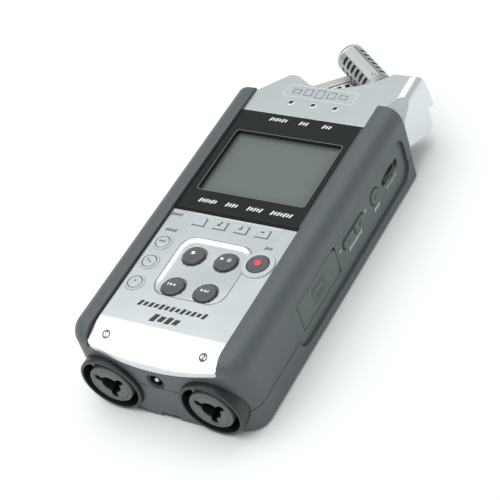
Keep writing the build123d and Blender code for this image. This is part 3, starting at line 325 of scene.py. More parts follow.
# %% Finishes
case_rubber = finish("case_rubber", (0.080, 0.094, 0.099), 0.46, grain=2600.0, grain_depth=0.000018,
                     spread=0.06, edge=0.0004, wear_and_highlight=0.10, Coat_Weight=0.10, Coat_Roughness=0.35)
silver_paint = finish("silver_paint", (0.70, 0.735, 0.745), 0.24, metallic=0.75, grain=5200.0,
                      grain_depth=0.000004, spread=0.03, edge=0.0003, wear_and_highlight=0.3,
                      wear_and_highlight_colour=(0.90, 0.92, 0.92), Coat_Weight=0.2, Coat_Roughness=0.12)
window_black = finish("window_black", (0.012, 0.014, 0.0145), 0.16, grain=900.0, grain_depth=0.000001,
                      edge=0.0002, wear_and_highlight=0.4, wear_and_highlight_colour=(0.07, 0.075, 0.075),
                      Specular_IOR_Level=0.28)
panel_plastic = finish("panel_plastic", (0.098, 0.122, 0.122), 0.46, grain=2200.0, grain_depth=0.000022,
                       spread=0.07, edge=0.00035, wear_and_highlight=0.12)
door_plastic = finish("door_plastic", (0.105, 0.132, 0.126), 0.50, grain=1900.0, grain_depth=0.000026,
                      spread=0.07, edge=0.00025, wear_and_highlight=0.10)
key_dark = finish("key_dark", (0.080, 0.085, 0.090), 0.36, grain=2800.0, grain_depth=0.000012,
                  edge=0.0004, wear_and_highlight=0.55, wear_and_highlight_colour=(0.22, 0.23, 0.235))
key_silver = finish("key_silver", (0.52, 0.56, 0.575), 0.26, metallic=0.2, grain=4200.0,
                    grain_depth=0.000006, spread=0.03, edge=0.00025, wear_and_highlight=0.4,
                    wear_and_highlight_colour=(0.85, 0.88, 0.88), Coat_Weight=0.4, Coat_Roughness=0.1)
clear_ring = finish("clear_ring", (0.52, 0.555, 0.56), 0.18, grain=3000.0, grain_depth=0.000004,
                    edge=0.0003, wear_and_highlight=0.6, wear_and_highlight_colour=(0.92, 0.94, 0.94), Coat_Weight=0.4,
                    Coat_Roughness=0.05)
jack_black = finish("jack_black", (0.016, 0.019, 0.022), 0.38, grain=2400.0, grain_depth=0.000014,
                    edge=0.0005, wear_and_highlight=0.75, wear_and_highlight_colour=(0.17, 0.18, 0.18))
insert_grey = finish("insert_grey", (0.115, 0.128, 0.127), 0.55, grain=2000.0, grain_depth=0.00002,
                     edge=0.00025, wear_and_highlight=0.3)
hole_dark = finish("hole_dark", (0.006, 0.006, 0.007), 0.65, grain=2000.0, wear_and_highlight=0.0)
barrel_metal = finish("barrel_metal", (0.43, 0.45, 0.445), 0.34, metallic=0.85, grain=3600.0,
                      grain_depth=0.000008, edge=0.0002, wear_and_highlight=0.6, wear_and_highlight_colour=(0.82, 0.84, 0.83),
                      brushed={"Along_X": 3200.0, "Along_Y": 3200.0, "Along_Z": 60.0})
rim_metal = finish("rim_metal", (0.70, 0.72, 0.71), 0.22, metallic=0.9, grain=4000.0,
                   grain_depth=0.000004, edge=0.0002, wear_and_highlight=0.5, wear_and_highlight_colour=(0.92, 0.93, 0.92))
label_paint = finish("label_paint", (0.50, 0.52, 0.515), 0.38, metallic=0.2, grain=4200.0,
                     grain_depth=0.000005, edge=0.00015, wear_and_highlight=0.3)
steel = finish("steel", (0.56, 0.56, 0.57), 0.30, metallic=1.0, grain=3200.0, grain_depth=0.000005,
               brushed={"Along_X": 60.0, "Along_Y": 2600.0, "Along_Z": 2600.0})
brass = finish("brass", (0.62, 0.46, 0.20), 0.30, metallic=1.0, grain=2600.0, grain_depth=0.000006)
switch_black = finish("switch_black", (0.018, 0.019, 0.021), 0.32, grain=2600.0, grain_depth=0.00001,
                      edge=0.0003, wear_and_highlight=0.7, wear_and_highlight_colour=(0.13, 0.14, 0.145))
screw_black = finish("screw_black", (0.05, 0.05, 0.052), 0.36, metallic=0.9, grain=2800.0)
board_green = finish("board_green", (0.02, 0.15, 0.07), 0.35, grain=900.0, mottle=300.0)
board_white = finish("board_white", (0.78, 0.79, 0.78), 0.55, grain=1800.0)
cell_wrap = finish("cell_wrap", (0.035, 0.035, 0.040), 0.22, grain=1500.0, Coat_Weight=0.5)
card_blue = finish("card_blue", (0.03, 0.05, 0.13), 0.42, grain=2000.0)
lamp_dark = finish("lamp_dark", (0.020, 0.020, 0.024), 0.15, grain=2000.0, wear_and_highlight=0.1, Coat_Weight=0.8)
# This white also draws a painted highlight round the head's engraved outline.
print_and_highlight_white = finish("print_and_highlight_white", (0.86, 0.88, 0.88), 0.42, grain=5200.0, spread=0.05, wear_and_highlight=0.0)
print_black = finish("print_black", (0.020, 0.022, 0.025), 0.45, grain=5200.0, spread=0.05, wear_and_highlight=0.0)
print_grey = finish("print_grey", (0.13, 0.135, 0.15), 0.45, grain=5200.0, spread=0.08, wear_and_highlight=0.0)
print_red = finish("print_red", (0.80, 0.060, 0.080), 0.38, grain=5200.0, spread=0.06, wear_and_highlight=0.0)
outline_grey = finish("outline_grey", (0.25, 0.27, 0.30), 0.35, metallic=0.4, grain=4200.0, wear_and_highlight=0.0)
# This grey also draws painted highlight lines along the window's edges.
groove_and_highlight_grey = finish("groove_and_highlight_grey", (0.24, 0.255, 0.27), 0.42, metallic=0.3, grain=4200.0, wear_and_highlight=0.0)
print("finishes:", len(bpy.data.materials))

# %% [markdown]
# The display has no picture on it: it is switched off. Its colour is a grey-green under a glossy
# sheet, with painted shade that darkens it towards the edges, where the window's deep border shades it.

# %% Display finish
display = finish("lcd_glass", (0.118, 0.142, 0.130), 0.30, grain=5200.0, grain_depth=0.000001,
                 spread=0.02, mottle=25.0, edge=0.0002, wear_and_highlight=0.0, Coat_Weight=0.5, Coat_Roughness=0.12)
tree = display.node_tree
glass_low, glass_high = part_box("lcd_panel")
glass_middle, glass_size = (glass_low + glass_high) / 2, glass_high - glass_low
parts = tree.nodes.new("ShaderNodeSeparateXYZ")
tree.links.new(tree.nodes.new("ShaderNodeTexCoord").outputs["Object"], parts.inputs[0])
# Painted shade: the display's colour darkens towards its edges, where the window's border shades it.
painted_edge_shade = None
for axis in (0, 1):
    off = math_node(tree, "ABSOLUTE", math_node(tree, "SUBTRACT", parts.outputs[axis], glass_middle[axis]))
    painted_edge_shade_part = math_node(tree, "DIVIDE", off, glass_size[axis] / 2)
    painted_edge_shade_part = math_node(tree, "POWER", painted_edge_shade_part, 9.0, True)
    painted_edge_shade = painted_edge_shade_part if painted_edge_shade is None else math_node(tree, "MAXIMUM", painted_edge_shade, painted_edge_shade_part)
shader = tree.nodes["Principled BSDF"]
plain = shader.inputs["Base Color"].links[0].from_socket
tree.links.new(mix_colour(tree, painted_edge_shade, plain, (0.045, 0.052, 0.048)), shader.inputs["Base Color"])
print("display is", [round(v * 1000, 1) for v in glass_size], "mm")

# %% [markdown]
# ## Painting the CAD pieces
# The shapes of most pieces are already right, so they keep their meshes and only get a finish. The
# table says which finish goes with which slot of the record; a few nodes differ from their slot.

# %% Paint the nodes
finish_of_slot = {
    "case_rubber": case_rubber, "silver_paint": silver_paint, "window_black": window_black,
    "lcd_glass": display, "board_white": board_white, "clear_ring": clear_ring,
    "board_green": board_green, "panel_plastic": panel_plastic, "switch_black": switch_black,
    "steel": steel, "jack_black": jack_black, "insert_grey": insert_grey, "cell_wrap": cell_wrap,
    "brass": brass, "speaker_black": hole_dark, "screw_black": screw_black, "lamp_dark": lamp_dark,
    "key_dark": key_dark, "key_silver": key_silver, "card_blue": card_blue,
    "barrel_metal": barrel_metal}
own_finish = {"sd_door": door_plastic, "capsule_element_upper": hole_dark,
              "capsule_element_lower": hole_dark}


def paint(thing, material):
    """Gives every material slot of an object the same finish."""
    if not thing.material_slots:
        thing.data.materials.append(material)
    for slot in thing.material_slots:
        slot.material = material


for part in frame["record"]["subparts"]:
    name = part["node"]
    paint(nodes[name], own_finish.get(name) or finish_of_slot[part["material_slot"]])
print("painted", len(nodes), "pieces")

# %% [markdown]
# ## Floor
# A plain pale floor, large enough that its edge is never seen. It has a faint grain, so that it
# reads as a surface and not as empty paper.

# %% Floor
floor_paint = finish("floor_paint", (0.93, 0.94, 0.94), 0.8, grain=400.0, spread=0.01, wear_and_highlight=0.0)
floor_half, floor_drop = 1.6, 0.0002
form = bmesh.new()
corners = [form.verts.new((x * floor_half, y * floor_half, cad_box[0].z - floor_drop))
           for x, y in ((-1, -1), (1, -1), (1, 1), (-1, 1))]
form.faces.new(corners)
floor_mesh = bpy.data.meshes.new("floor")
form.to_mesh(floor_mesh)
form.free()
floor = bpy.data.objects.new("floor", floor_mesh)
scene.collection.objects.link(floor)
paint(floor, floor_paint)

# %% [markdown]
# ## Helpers that make pieces
# Each detail is a mesh of its own. `settle` turns a bmesh into an object, gives it a finish and
# makes it ride on a body. `join_rings` closes the faces between two rings of corners, which tubes,
# inserts and caps are made of. `centre` reads a place from a CAD piece, so that no place is typed twice.

# %% Piece helpers


def centre(node):
    """The middle of a CAD piece."""
    low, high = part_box(node)
    return (low + high) / 2


def join_rings(form, first, second, open_at=lambda step: False):
    """Four-sided faces between two closed rings of corners, apart from the steps left open."""
    for step in range(len(first)):
        if not open_at(step):
            after = (step + 1) % len(first)
            form.faces.new((first[step], first[after], second[after], second[step]))


def settle(form, name, material, body, smooth=False, merge=True):
    """Makes an object of a bmesh, in its place, on its body; merge joins corners that coincide."""
    if merge:
        bmesh.ops.remove_doubles(form, verts=form.verts, dist=1e-7)
    bmesh.ops.recalc_face_normals(form, faces=form.faces)
    mesh = bpy.data.meshes.new(name)
    form.to_mesh(mesh)
    form.free()
    if smooth:
        mesh.shade_smooth()
    piece = bpy.data.objects.new(name, mesh)
    scene.collection.objects.link(piece)
    paint(piece, material)
    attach(piece, body)
    return piece


# %% [markdown]
# Printed marks are thin sheets of paint that follow the surface under them. A mark is drawn flat,
# in millimetres, then every corner is dropped onto the CAD surface with a ray and the sheet is
# given a few hundredths of a millimetre of thickness.

# %% Marks that lie on a surface
DROP_FROM = 4  # height above the spot from which a corner is dropped, in millimetres
SINK = 0.01  # depth of a mark's underside below the surface, in millimetres


class Spot:
    """A place to draw on: a point near the surface, two directions across it and one out of it."""

    def __init__(self, node, origin, across, up):
        self.origin = Vector(origin)
        self.across, self.up = Vector(across).normalized(), Vector(up).normalized()
        self.out = self.across.cross(self.up)
        mesh = nodes[node].data
        self.surface = BVHTree.FromPolygons([v.co.copy() for v in mesh.vertices],
                                            [tuple(p.vertices) for p in mesh.polygons])

    def drop(self, x, y):
        """The surface point under a drawing point and its direction, or None off the piece's edge."""
        start = self.origin + (self.across * x + self.up * y + self.out * DROP_FROM) * MM
        hit, normal, _, _ = self.surface.ray_cast(start, -self.out)
        if hit is None:
            return None
        return hit, normal if normal.dot(self.out) > 0 else -normal


def mark(name, shapes, spot, material, body, rise=0.03):
    """Thin paint in the given flat shapes, each a list of polygons in millimetres."""
    form = bmesh.new()
    missed = 0
    for polygon in shapes:
        under, over = [], []
        corners = [spot.drop(x, y) for x, y in polygon]
        if None in corners:
            missed += 1
            continue
        for hit, normal in corners:
            under.append(form.verts.new(hit - normal * SINK * MM))
            over.append(form.verts.new(hit + normal * rise * MM))
        form.faces.new(over)
        form.faces.new(under[::-1])
        join_rings(form, under, over)
    if missed:
        print(name, "leaves out", missed, "of", len(shapes), "shapes that reach past the edge")
    return settle(form, name, material, body, merge=False)


def bar(x, y, width, height, lean=0.0):
    """A bar centred at x, y, leaning to the right as italics do."""
    w, h, s = width / 2, height / 2, lean * height / 2
    return [(x - w - s, y - h), (x + w - s, y - h), (x + w + s, y + h), (x - w + s, y + h)]


def triangle(x, y, size, way=1):
    """A triangle that points right (+1) or left (-1)."""
    half = size / 2
    return [(x - way * half, y - half), (x + way * half, y), (x - way * half, y + half)]


def hoop(x, y, radius, width, steps=40, start=0.0, sweep=2 * pi):
    """A ring, or part of one, as four-sided pieces."""
    pieces = []
    for index in range(steps):
        a, b = start + sweep * index / steps, start + sweep * (index + 1) / steps
        inner, outer = radius - width / 2, radius + width / 2
        pieces.append([(x + inner * cos(a), y + inner * sin(a)), (x + outer * cos(a), y + outer * sin(a)),
                       (x + outer * cos(b), y + outer * sin(b)), (x + inner * cos(b), y + inner * sin(b))])
    return pieces


def dot(x, y, radius, steps=20):
    """A filled round dot."""
    return [(x + radius * cos(2 * pi * i / steps), y + radius * sin(2 * pi * i / steps))
            for i in range(steps)]


# %% [markdown]
# Numbers 1 to 4 are drawn as strokes on a small grid, with the slant of the key legends. Words are
# never drawn: short rows of bars stand where the recorder has them.

# %% Strokes for numbers and stand-ins for words
number_strokes = {
    1: [((0.1, 0.8), (0.5, 1.0)), ((0.5, 1.0), (0.5, 0.0))],
    2: [((0.05, 0.8), (0.3, 1.0)), ((0.3, 1.0), (0.8, 0.9)), ((0.8, 0.9), (0.8, 0.6)),
        ((0.8, 0.6), (0.05, 0.0)), ((0.05, 0.0), (0.9, 0.0))],
    3: [((0.05, 1.0), (0.85, 1.0)), ((0.85, 1.0), (0.45, 0.58)), ((0.45, 0.58), (0.85, 0.4)),
        ((0.85, 0.4), (0.75, 0.05)), ((0.75, 0.05), (0.05, 0.05))],
    4: [((0.65, 0.0), (0.65, 1.0)), ((0.65, 1.0), (0.0, 0.35)), ((0.0, 0.35), (0.95, 0.35))]}


def number(value, x, y, height, weight=0.16, lean=0.25):
    """The strokes of a number, centred at x, y."""
    shapes = []
    for (x0, y0), (x1, y1) in number_strokes[value]:
        ends = []
        for u, v in ((x0, y0), (x1, y1)):
            px, py = (u - 0.45) * 0.62 * height, (v - 0.5) * height
            ends.append(Vector((x + px + lean * py, y + py)))
        run = (ends[1] - ends[0]).normalized() * weight * height / 2
        side = Vector((-run.y, run.x))
        shapes.append([tuple(ends[0] - run - side), tuple(ends[1] + run - side),
                       tuple(ends[1] + run + side), tuple(ends[0] - run + side)])
    return shapes


def word_bars(x, y, count, height=1.0, pitch=0.85, thickness=0.5, lean=0.3):
    """A row of short leaning bars in place of a word, centred at x, y."""
    first = x - pitch * (count - 1) / 2
    lengths = (1.0, 0.75, 0.9, 0.7)
    return [bar(first + pitch * i, y, thickness, height * lengths[i % 4], lean) for i in range(count)]


# %% [markdown]
# ## Keys
# The four transport keys carry the usual symbols in white, and the record key a red dot. The marks
# ride on their own keys, so that they go down with them.

# %% Transport key symbols
ACROSS, ALONG = (1, 0, 0), (0, 1, 0)


def face_spot(node):
    """A drawing place in the middle of a piece on the face."""
    middle = centre(node)
    return Spot(node, (middle.x, middle.y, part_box(node)[1].z), ACROSS, ALONG)


mark("stop_symbol", [bar(-0.75, 0.95, 1.25, 1.25)], face_spot("stop_button"), print_and_highlight_white,
     "stop_button")
mark("play_symbol", [triangle(-1.7, 0.85, 1.5), bar(0.6, 0.75, 0.42, 1.5), bar(1.45, 0.75, 0.42, 1.5)],
     face_spot("play_button"), print_and_highlight_white, "play_button")
mark("rewind_symbol",
     [bar(-2.2, 0.5, 0.35, 1.2), triangle(-1.35, 0.5, 1.2, -1), triangle(0.05, 0.5, 1.2, -1)],
     face_spot("rewind_button"), print_and_highlight_white, "rewind_button")
mark("forward_symbol", [triangle(-1.5, 0.7, 1.2), triangle(-0.1, 0.7, 1.2), bar(0.75, 0.7, 0.35, 1.2)],
     face_spot("forward_button"), print_and_highlight_white, "forward_button")
mark("record_symbol", [dot(-0.5, 0.6, 1.0)] + hoop(-0.5, 0.6, 1.15, 0.3, 28), face_spot("record_button"),
     print_red, "record_button")

# %% [markdown]
# The three input keys are marked with small dots and the track keys with 1 to 4. Small dark corner
# ticks show where each translucent key ends.

# %% Input and track key marks
dots_of_key = {"top": ((-0.9, 0.1), (0.0, 0.1), (0.9, 0.1)), "middle": ((-0.5, 0.4), (0.6, -0.4)),
               "bottom": ((0.0, 0.4),)}
for level, dots in dots_of_key.items():
    node = "input_button_" + level
    mark("input_marks_" + level, [dot(x, y, 0.36, 12) for x, y in dots], face_spot(node), print_black,
         node)
half = Vector((2.35, 1.8))  # from a track key's middle to its corner, in millimetres
ticks = [bar(half.x - 0.5, half.y - 0.35, 0.8, 0.3), bar(half.x - 0.25, half.y - 0.65, 0.3, 0.8),
         bar(-half.x + 0.5, -half.y + 0.35, 0.8, 0.3), bar(-half.x + 0.25, -half.y + 0.65, 0.3, 0.8)]
for value in (1, 2, 3, 4):
    node = "track_button_" + str(value)
    mark("track_number_" + str(value), number(value, -0.3, 0.6, 1.9, 0.22), face_spot(node), print_black,
         node)
    mark("track_ticks_" + str(value), ticks, face_spot(node), print_black, node, 0.02)

# %% [markdown]
# ## Marks on the silver plate
# The circled numbers 1 and 2 stand over the two sockets, on the curved foot of the plate. Rows of
# bars take the place of words. All of them are dropped onto the plate's real surface.

# %% Plate marks
plate_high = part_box("face_plate")[1]
jack_end = cad_box[0].y + 0.8 * MM


def plate_spot(x, from_jacks):
    """A drawing place on the plate, a distance from the jack end, in millimetres."""
    return Spot("face_plate", (x * MM, jack_end + from_jacks * MM, plate_high.z), ACROSS, ALONG)


plate = plate_spot(0, 0)
for value, x in ((1, -19.4), (2, 19.6)):
    spot = plate_spot(x, 6.4)
    mark("socket_number_" + str(value), hoop(0, 0, 1.3, 0.5) + number(value, 0, 0, 1.7, 0.27, 0.1),
         spot, print_grey, "casing")
name_rows = (word_bars(-0.9, 21.6, 13, 2.4, 2.15, 1.35, 0.35)
             + word_bars(-0.9, 16.6, 4, 3.4, 2.9, 2.0, 0.35))
mark("plate_name_bars", name_rows, plate, print_black, "casing")
mark("track_word_bars", word_bars(-22.9, 63.0, 5, 1.5, 0.95, 0.5), plate, print_black,
     "casing")
mark("input_word_bars", word_bars(-21.0, 55.4, 5, 1.4, 0.95, 0.5), plate, print_black,
     "casing")
mark("record_word_bars", word_bars(19.0, 55.6, 3, 1.4, 1.0, 0.5), plate, print_black,
     "casing")

# %% [markdown]
# The narrow gap between plate and casing is drawn as a dark line on each side, and two short lines
# join the three input keys.

# %% Plate lines


def long_bar(x, y_low, y_high, width, steps=48):
    """A bar along Y in short lengths, so that it follows a curved surface."""
    reach = (y_high - y_low) / steps
    return [bar(x, y_low + reach * (k + 0.5), width, reach) for k in range(steps)]


for side, side_name in ((-1, "left"), (1, "right")):
    mark("plate_gap_" + side_name, long_bar(side * 25.68, 2.2, 65.2, 0.36), plate, hole_dark,
         "casing", 0.025)
key_line = [bar(-21.0, 44.5, 0.2, 2.5), bar(-21.0, 34.7, 0.2, 3.3)]
mark("input_key_line", key_line, plate, groove_and_highlight_grey, "casing", 0.02)

# %% [markdown]
# ## The key pad's soft slope
# Round the four transport keys the plate is pressed in a little. The slope is steep enough to see
# along the top and the left and dies out towards the bottom right. The CAD step has the right depth
# but a sharp wall, so a thin skin fills it: a sheet whose height falls from the plate's level by a
# smooth curve, with a round hole for each key.

# %% Pad skin


def rounded_loop(middle, half, corner, steps=10):
    """Points of a rounded rectangle, anticlockwise."""
    points = []
    for quarter, (sx, sy) in enumerate(((1, -1), (1, 1), (-1, 1), (-1, -1))):
        cx, cy = middle.x + sx * (half.x - corner), middle.y + sy * (half.y - corner)
        for step in range(steps + 1):
            turn = pi / 2 * (quarter - 1 + step / steps)
            points.append((cx + corner * cos(turn), cy + corner * sin(turn)))
    return points


def smooth(value):
    """A curve that leaves 0 and reaches 1 without a corner."""
    value = min(1.0, max(0.0, value))
    return value * value * (3 - 2 * value)


pad_half_x, pad_half_y, pad_round, pad_depth = 14.55, 14.05, 5.95, 0.4
keys_middle = (centre("stop_button") + centre("forward_button")) / 2
pad_middle = Vector((keys_middle.x / MM, jack_end / MM + 40.7))
pad_keys = [(centre(k).x / MM, centre(k).y / MM) for k in
            ("stop_button", "play_button", "rewind_button", "forward_button")]


def inside_pad(x, y):
    """How far a place lies inside the pad's outline, in millimetres."""
    dx = abs(x - pad_middle.x) - (pad_half_x - pad_round)
    dy = abs(y - pad_middle.y) - (pad_half_y - pad_round)
    out = sqrt(max(dx, 0) ** 2 + max(dy, 0) ** 2) + min(max(dx, dy), 0)
    return pad_round - out


def pad_fall(x, y):
    """Depth of the skin below the plate: a sharp slope top left, a slow one bottom right."""
    u = (x - pad_middle.x) / pad_half_x
    v = (y - pad_middle.y) / pad_half_y
    slope = smooth(inside_pad(x, y) / 2.6)
    fade = smooth(0.5 + 0.75 * (v - 0.55 * u) + 0.35)
    return pad_depth * 0.86 * slope * min(1.0, fade)


key_clear = 4.3
pad_step = 0.4
form = bmesh.new()
grid = {}
across_count, along_count = int(2 * pad_half_x / pad_step), int(2 * pad_half_y / pad_step)


def pad_point(i, j):
    """A corner of the skin's grid, pulled onto the outline or a key's hole when it is near."""
    if (i, j) in grid:
        return grid[i, j]
    x = pad_middle.x - pad_half_x + 2 * pad_half_x * i / across_count
    y = pad_middle.y - pad_half_y + 2 * pad_half_y * j / along_count
    for _ in range(3):
        inside = inside_pad(x, y)
        if inside < pad_step * 0.55:
            gx = inside_pad(x + 0.01, y) - inside
            gy = inside_pad(x, y + 0.01) - inside
            norm = sqrt(gx * gx + gy * gy) or 1.0
            x, y = x - inside * gx / norm, y - inside * gy / norm
    for kx, ky in pad_keys:
        reach = sqrt((x - kx) ** 2 + (y - ky) ** 2)
        if reach < key_clear + pad_step * 0.5:
            x, y = kx + (x - kx) * key_clear / reach, ky + (y - ky) * key_clear / reach
    grid[i, j] = form.verts.new((x * MM, y * MM, plate_high.z - (pad_fall(x, y) + 0.004) * MM))
    return grid[i, j]


for i in range(across_count):
    for j in range(along_count):
        x = pad_middle.x - pad_half_x + 2 * pad_half_x * (i + 0.5) / across_count
        y = pad_middle.y - pad_half_y + 2 * pad_half_y * (j + 0.5) / along_count
        over_key = any((x - kx) ** 2 + (y - ky) ** 2 < key_clear ** 2 for kx, ky in pad_keys)
        if inside_pad(x, y) < 0.05 or over_key:
            continue
        corners = [pad_point(i, j), pad_point(i + 1, j), pad_point(i + 1, j + 1), pad_point(i, j + 1)]
        form.faces.new(corners)
bmesh.ops.dissolve_degenerate(form, edges=form.edges, dist=0.01 * MM)
skin = settle(form, "pad_skin", silver_paint, "casing", smooth=True)
wall = skin.modifiers.new("wall", "SOLIDIFY")
wall.thickness, wall.offset = 0.05 * MM, -1.0
print("pad skin has", len(skin.data.polygons), "faces")

# %% [markdown]
# Each key stands in a narrow dark well. A flat black ring at the foot of the well is painted shade,
# standing in for the shade of the real gap's depth. The record key has one too.

# %% Dark wells of painted shade


def turned(name, profile, origin, axis, material, body, steps=48):
    """A solid of revolution: profile points are (distance along the axis, radius), in millimetres."""
    axis = Vector(axis).normalized()
    side = axis.orthogonal().normalized()
    other = axis.cross(side)
    form = bmesh.new()
    rings = []
    for along_axis, radius in profile:
        ring = []
        for step in range(steps):
            turn = 2 * pi * step / steps
            off = side * cos(turn) * radius + other * sin(turn) * radius
            ring.append(form.verts.new(Vector(origin) + (axis * along_axis + off) * MM))
        rings.append(ring)
    for first, second in zip(rings, rings[1:]):
        join_rings(form, first, second)
    if profile[0] != profile[-1]:
        form.faces.new(rings[0][::-1])
        form.faces.new(rings[-1])
    return settle(form, name, material, body, smooth=True)


def dome(radius, start, steps=6):
    """Profile of a rounded tip that begins at a distance along the axis."""
    return [(start + radius * sin(pi / 2 * k / steps), max(radius * cos(pi / 2 * k / steps), 0.03))
            for k in range(steps + 1)]


def shade_ring(name, node, inner, outer, level):
    """A thin flat black ring of painted shade round a key, in millimetres, at a height in metres."""
    middle = centre(node)
    turned(name, [(0.0, inner), (0.0, outer), (0.05, outer), (0.05, inner), (0.0, inner)],
           (middle.x, middle.y, level), (0, 0, 1), hole_dark, "casing")


shade_ring_level = plate_high.z - 0.75 * MM
for key in ("stop_button", "play_button", "rewind_button", "forward_button", "record_button"):
    low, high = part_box(key)
    shaft = (high.x - low.x) / 2 / MM - 0.8
    shade_ring_width = 0.25 if key == "record_button" else 0.32
    # Painted shade: a flat black ring at the foot of each key's gap.
    shade_ring("well_shade_" + key, key, shaft + 0.03, shaft + shade_ring_width, shade_ring_level)

# %% [markdown]
# ## Screen surround
# The black window carries rows of bars below the display and beside the three lamps, printed in
# white, and all are measured from the middle line and the jack end. A fine light line round the
# display's opening, and another along the window's right edge, are painted highlights where the
# window's edges catch light.

# %% Window marks
window = Spot("screen_window", (0, jack_end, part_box("screen_window")[1].z), ACROSS, ALONG)
legend = []
for x, count in ((-14.6, 6), (-4.6, 4), (4.9, 5), (15.8, 7)):
    legend += word_bars(x, 71.6, count, 2.0, 1.25, 0.7, 0.35)
mark("display_legend_bars", legend, window, print_and_highlight_white, "casing")
legend = []
for x, count in ((-8.7, 6), (2.0, 3), (11.6, 3)):
    legend += word_bars(x, 116.6, count, 1.9, 1.25, 0.7, 0.35)
mark("lamp_legend_bars", legend, window, print_and_highlight_white, "casing")

mark("window_edge_dark", long_bar(25.60, 67.6, 119.0, 0.30, 8), window, hole_dark,
     "casing", 0.02)
# Painted highlight: a light line along the window's right edge.
mark("window_edge_highlight", long_bar(25.12, 67.6, 118.6, 0.22, 8), window, groove_and_highlight_grey,
     "casing", 0.02)

glass_half = Vector((22.2, 15.95)) * MM
glass_centre = Vector((0.0, jack_end + 92.65 * MM))
# Painted highlight: a light line round the display's opening.
outer = rounded_loop(glass_centre, glass_half + Vector((0.22, 0.22)) * MM, 1.3 * MM, 4)
inner = rounded_loop(glass_centre, glass_half, 1.2 * MM, 4)
edge_highlight_shapes = []
for index in range(len(outer)):
    after = (index + 1) % len(outer)
    quad = (inner[index], outer[index], outer[after], inner[after])
    edge_highlight_shapes.append([(x / MM, (y - jack_end) / MM) for x, y in quad])
mark("glass_edge_highlight", edge_highlight_shapes, window, groove_and_highlight_grey, "casing", 0.02)

# %% [markdown]
# ## Combined sockets
# Each big socket takes a three-pin plug or a phone plug. Its grey insert has one hole for the phone
# plug with three pin holes that run into it. The hole's edge is one polar curve: the plug's circle,
# pushed out where a pin hole meets it.

# %% Socket inserts


def hole_reach(turn, lobe_turns, base=3.8, lobe_centre=5.1, lobe_radius=1.35):
    """Distance from the middle to the hole's edge in a direction, in millimetres."""
    reach = base
    for lobe in lobe_turns:
        off = turn - lobe
        across = lobe_centre * sin(off)
        if cos(off) > 0 and abs(across) < lobe_radius:
            reach = max(reach, lobe_centre * cos(off) + sqrt(lobe_radius ** 2 - across ** 2))
    return reach


pin_turns = (radians(150), radians(30), radians(-90))
insert_steps = 144
hole_depth, lining_depth, insert_depth = 12.0, 11.9, 14.0
for side, side_name in ((-1, "left"), (1, "right")):
    node = "combo_insert_" + side_name
    low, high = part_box(node)
    middle = (low + high) / 2
    outer_radius = (high.x - low.x) / 2 / MM
    front = low.y / MM
    form = bmesh.new()
    # Each ring is its distance from the middle, by direction, and its depth behind the front.
    rings = []
    for radius_at, depth in (
            (lambda t: hole_reach(t, pin_turns), hole_depth), (lambda t: hole_reach(t, pin_turns), 0.25),
            (lambda t: hole_reach(t, pin_turns) + 0.25, 0.0), (lambda t: outer_radius - 1.55, 0.0),
            (lambda t: outer_radius - 1.45, 0.18), (lambda t: outer_radius - 1.2, 0.18),
            (lambda t: outer_radius - 1.1, 0.0), (lambda t: outer_radius - 0.35, 0.0),
            (lambda t: outer_radius, 0.4), (lambda t: outer_radius, insert_depth)):
        ring = []
        for step in range(insert_steps):
            turn = 2 * pi * step / insert_steps
            reach = radius_at(turn)
            ring.append(form.verts.new((middle.x + reach * cos(turn) * MM, (front + depth) * MM,
                                        middle.z + reach * sin(turn) * MM)))
        rings.append(ring)
    for first, second in zip(rings, rings[1:] + rings[:1]):
        join_rings(form, first, second)
    insert = settle(form, "socket_insert_" + side_name, insert_grey, "casing")
    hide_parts(node)

    # A dark floor closes the hole.
    form = bmesh.new()
    back_ring = [form.verts.new((middle.x + 7.0 * cos(2 * pi * s / 48) * MM, (front + lining_depth) * MM,
                                 middle.z + 7.0 * sin(2 * pi * s / 48) * MM)) for s in range(48)]
    face = form.faces.new(back_ring)
    grown = bmesh.ops.extrude_face_region(form, geom=[face], use_keep_orig=True)
    moved = [v for v in grown["geom"] if isinstance(v, bmesh.types.BMVert)]
    bmesh.ops.translate(form, verts=moved, vec=(0, 1.0 * MM, 0))
    settle(form, "socket_floor_" + side_name, hole_dark, "casing")

    # A dark lining of painted shade, so that the hole reads as deep.
    form = bmesh.new()
    rings = []
    for depth in (0.35, lining_depth):
        ring = []
        for step in range(insert_steps):
            turn = 2 * pi * step / insert_steps
            for reach in (hole_reach(turn, pin_turns) - 0.04, hole_reach(turn, pin_turns) + 0.02):
                ring.append(form.verts.new((middle.x + reach * cos(turn) * MM, (front + depth) * MM,
                                            middle.z + reach * sin(turn) * MM)))
        rings.append(ring)
    near, far = rings
    for step in range(0, 2 * insert_steps, 2):
        after = (step + 2) % (2 * insert_steps)
        for a, b, c, d in ((near[step], near[after], far[after], far[step]),
                           (near[step + 1], far[step + 1], far[after + 1], near[after + 1]),
                           (near[step], near[step + 1], near[after + 1], near[after]),
                           (far[step], far[after], far[after + 1], far[step + 1])):
            form.faces.new((a, b, c, d))
    settle(form, "socket_shade_lining_" + side_name, hole_dark, "casing")

    # Release tab at the top of the gap round the insert.
    form = bmesh.new()
    tab_turn, tab_half = radians(118), radians(3.5)
    shape = []
    for turn, reach in ((tab_turn - tab_half, 9.3), (tab_turn + tab_half, 9.3),
                        (tab_turn + tab_half, 10.7), (tab_turn - tab_half, 10.7)):
        for depth in (0.6, 6.0):
            shape.append(form.verts.new((middle.x + reach * cos(turn) * MM, (front + depth) * MM,
                                         middle.z + reach * sin(turn) * MM)))
    for quad in ((0, 2, 4, 6), (1, 3, 5, 7), (0, 1, 3, 2), (2, 3, 5, 4), (4, 5, 7, 6), (6, 7, 1, 0)):
        form.faces.new([shape[k] for k in quad])
    settle(form, "release_tab_" + side_name, insert_grey, "casing")

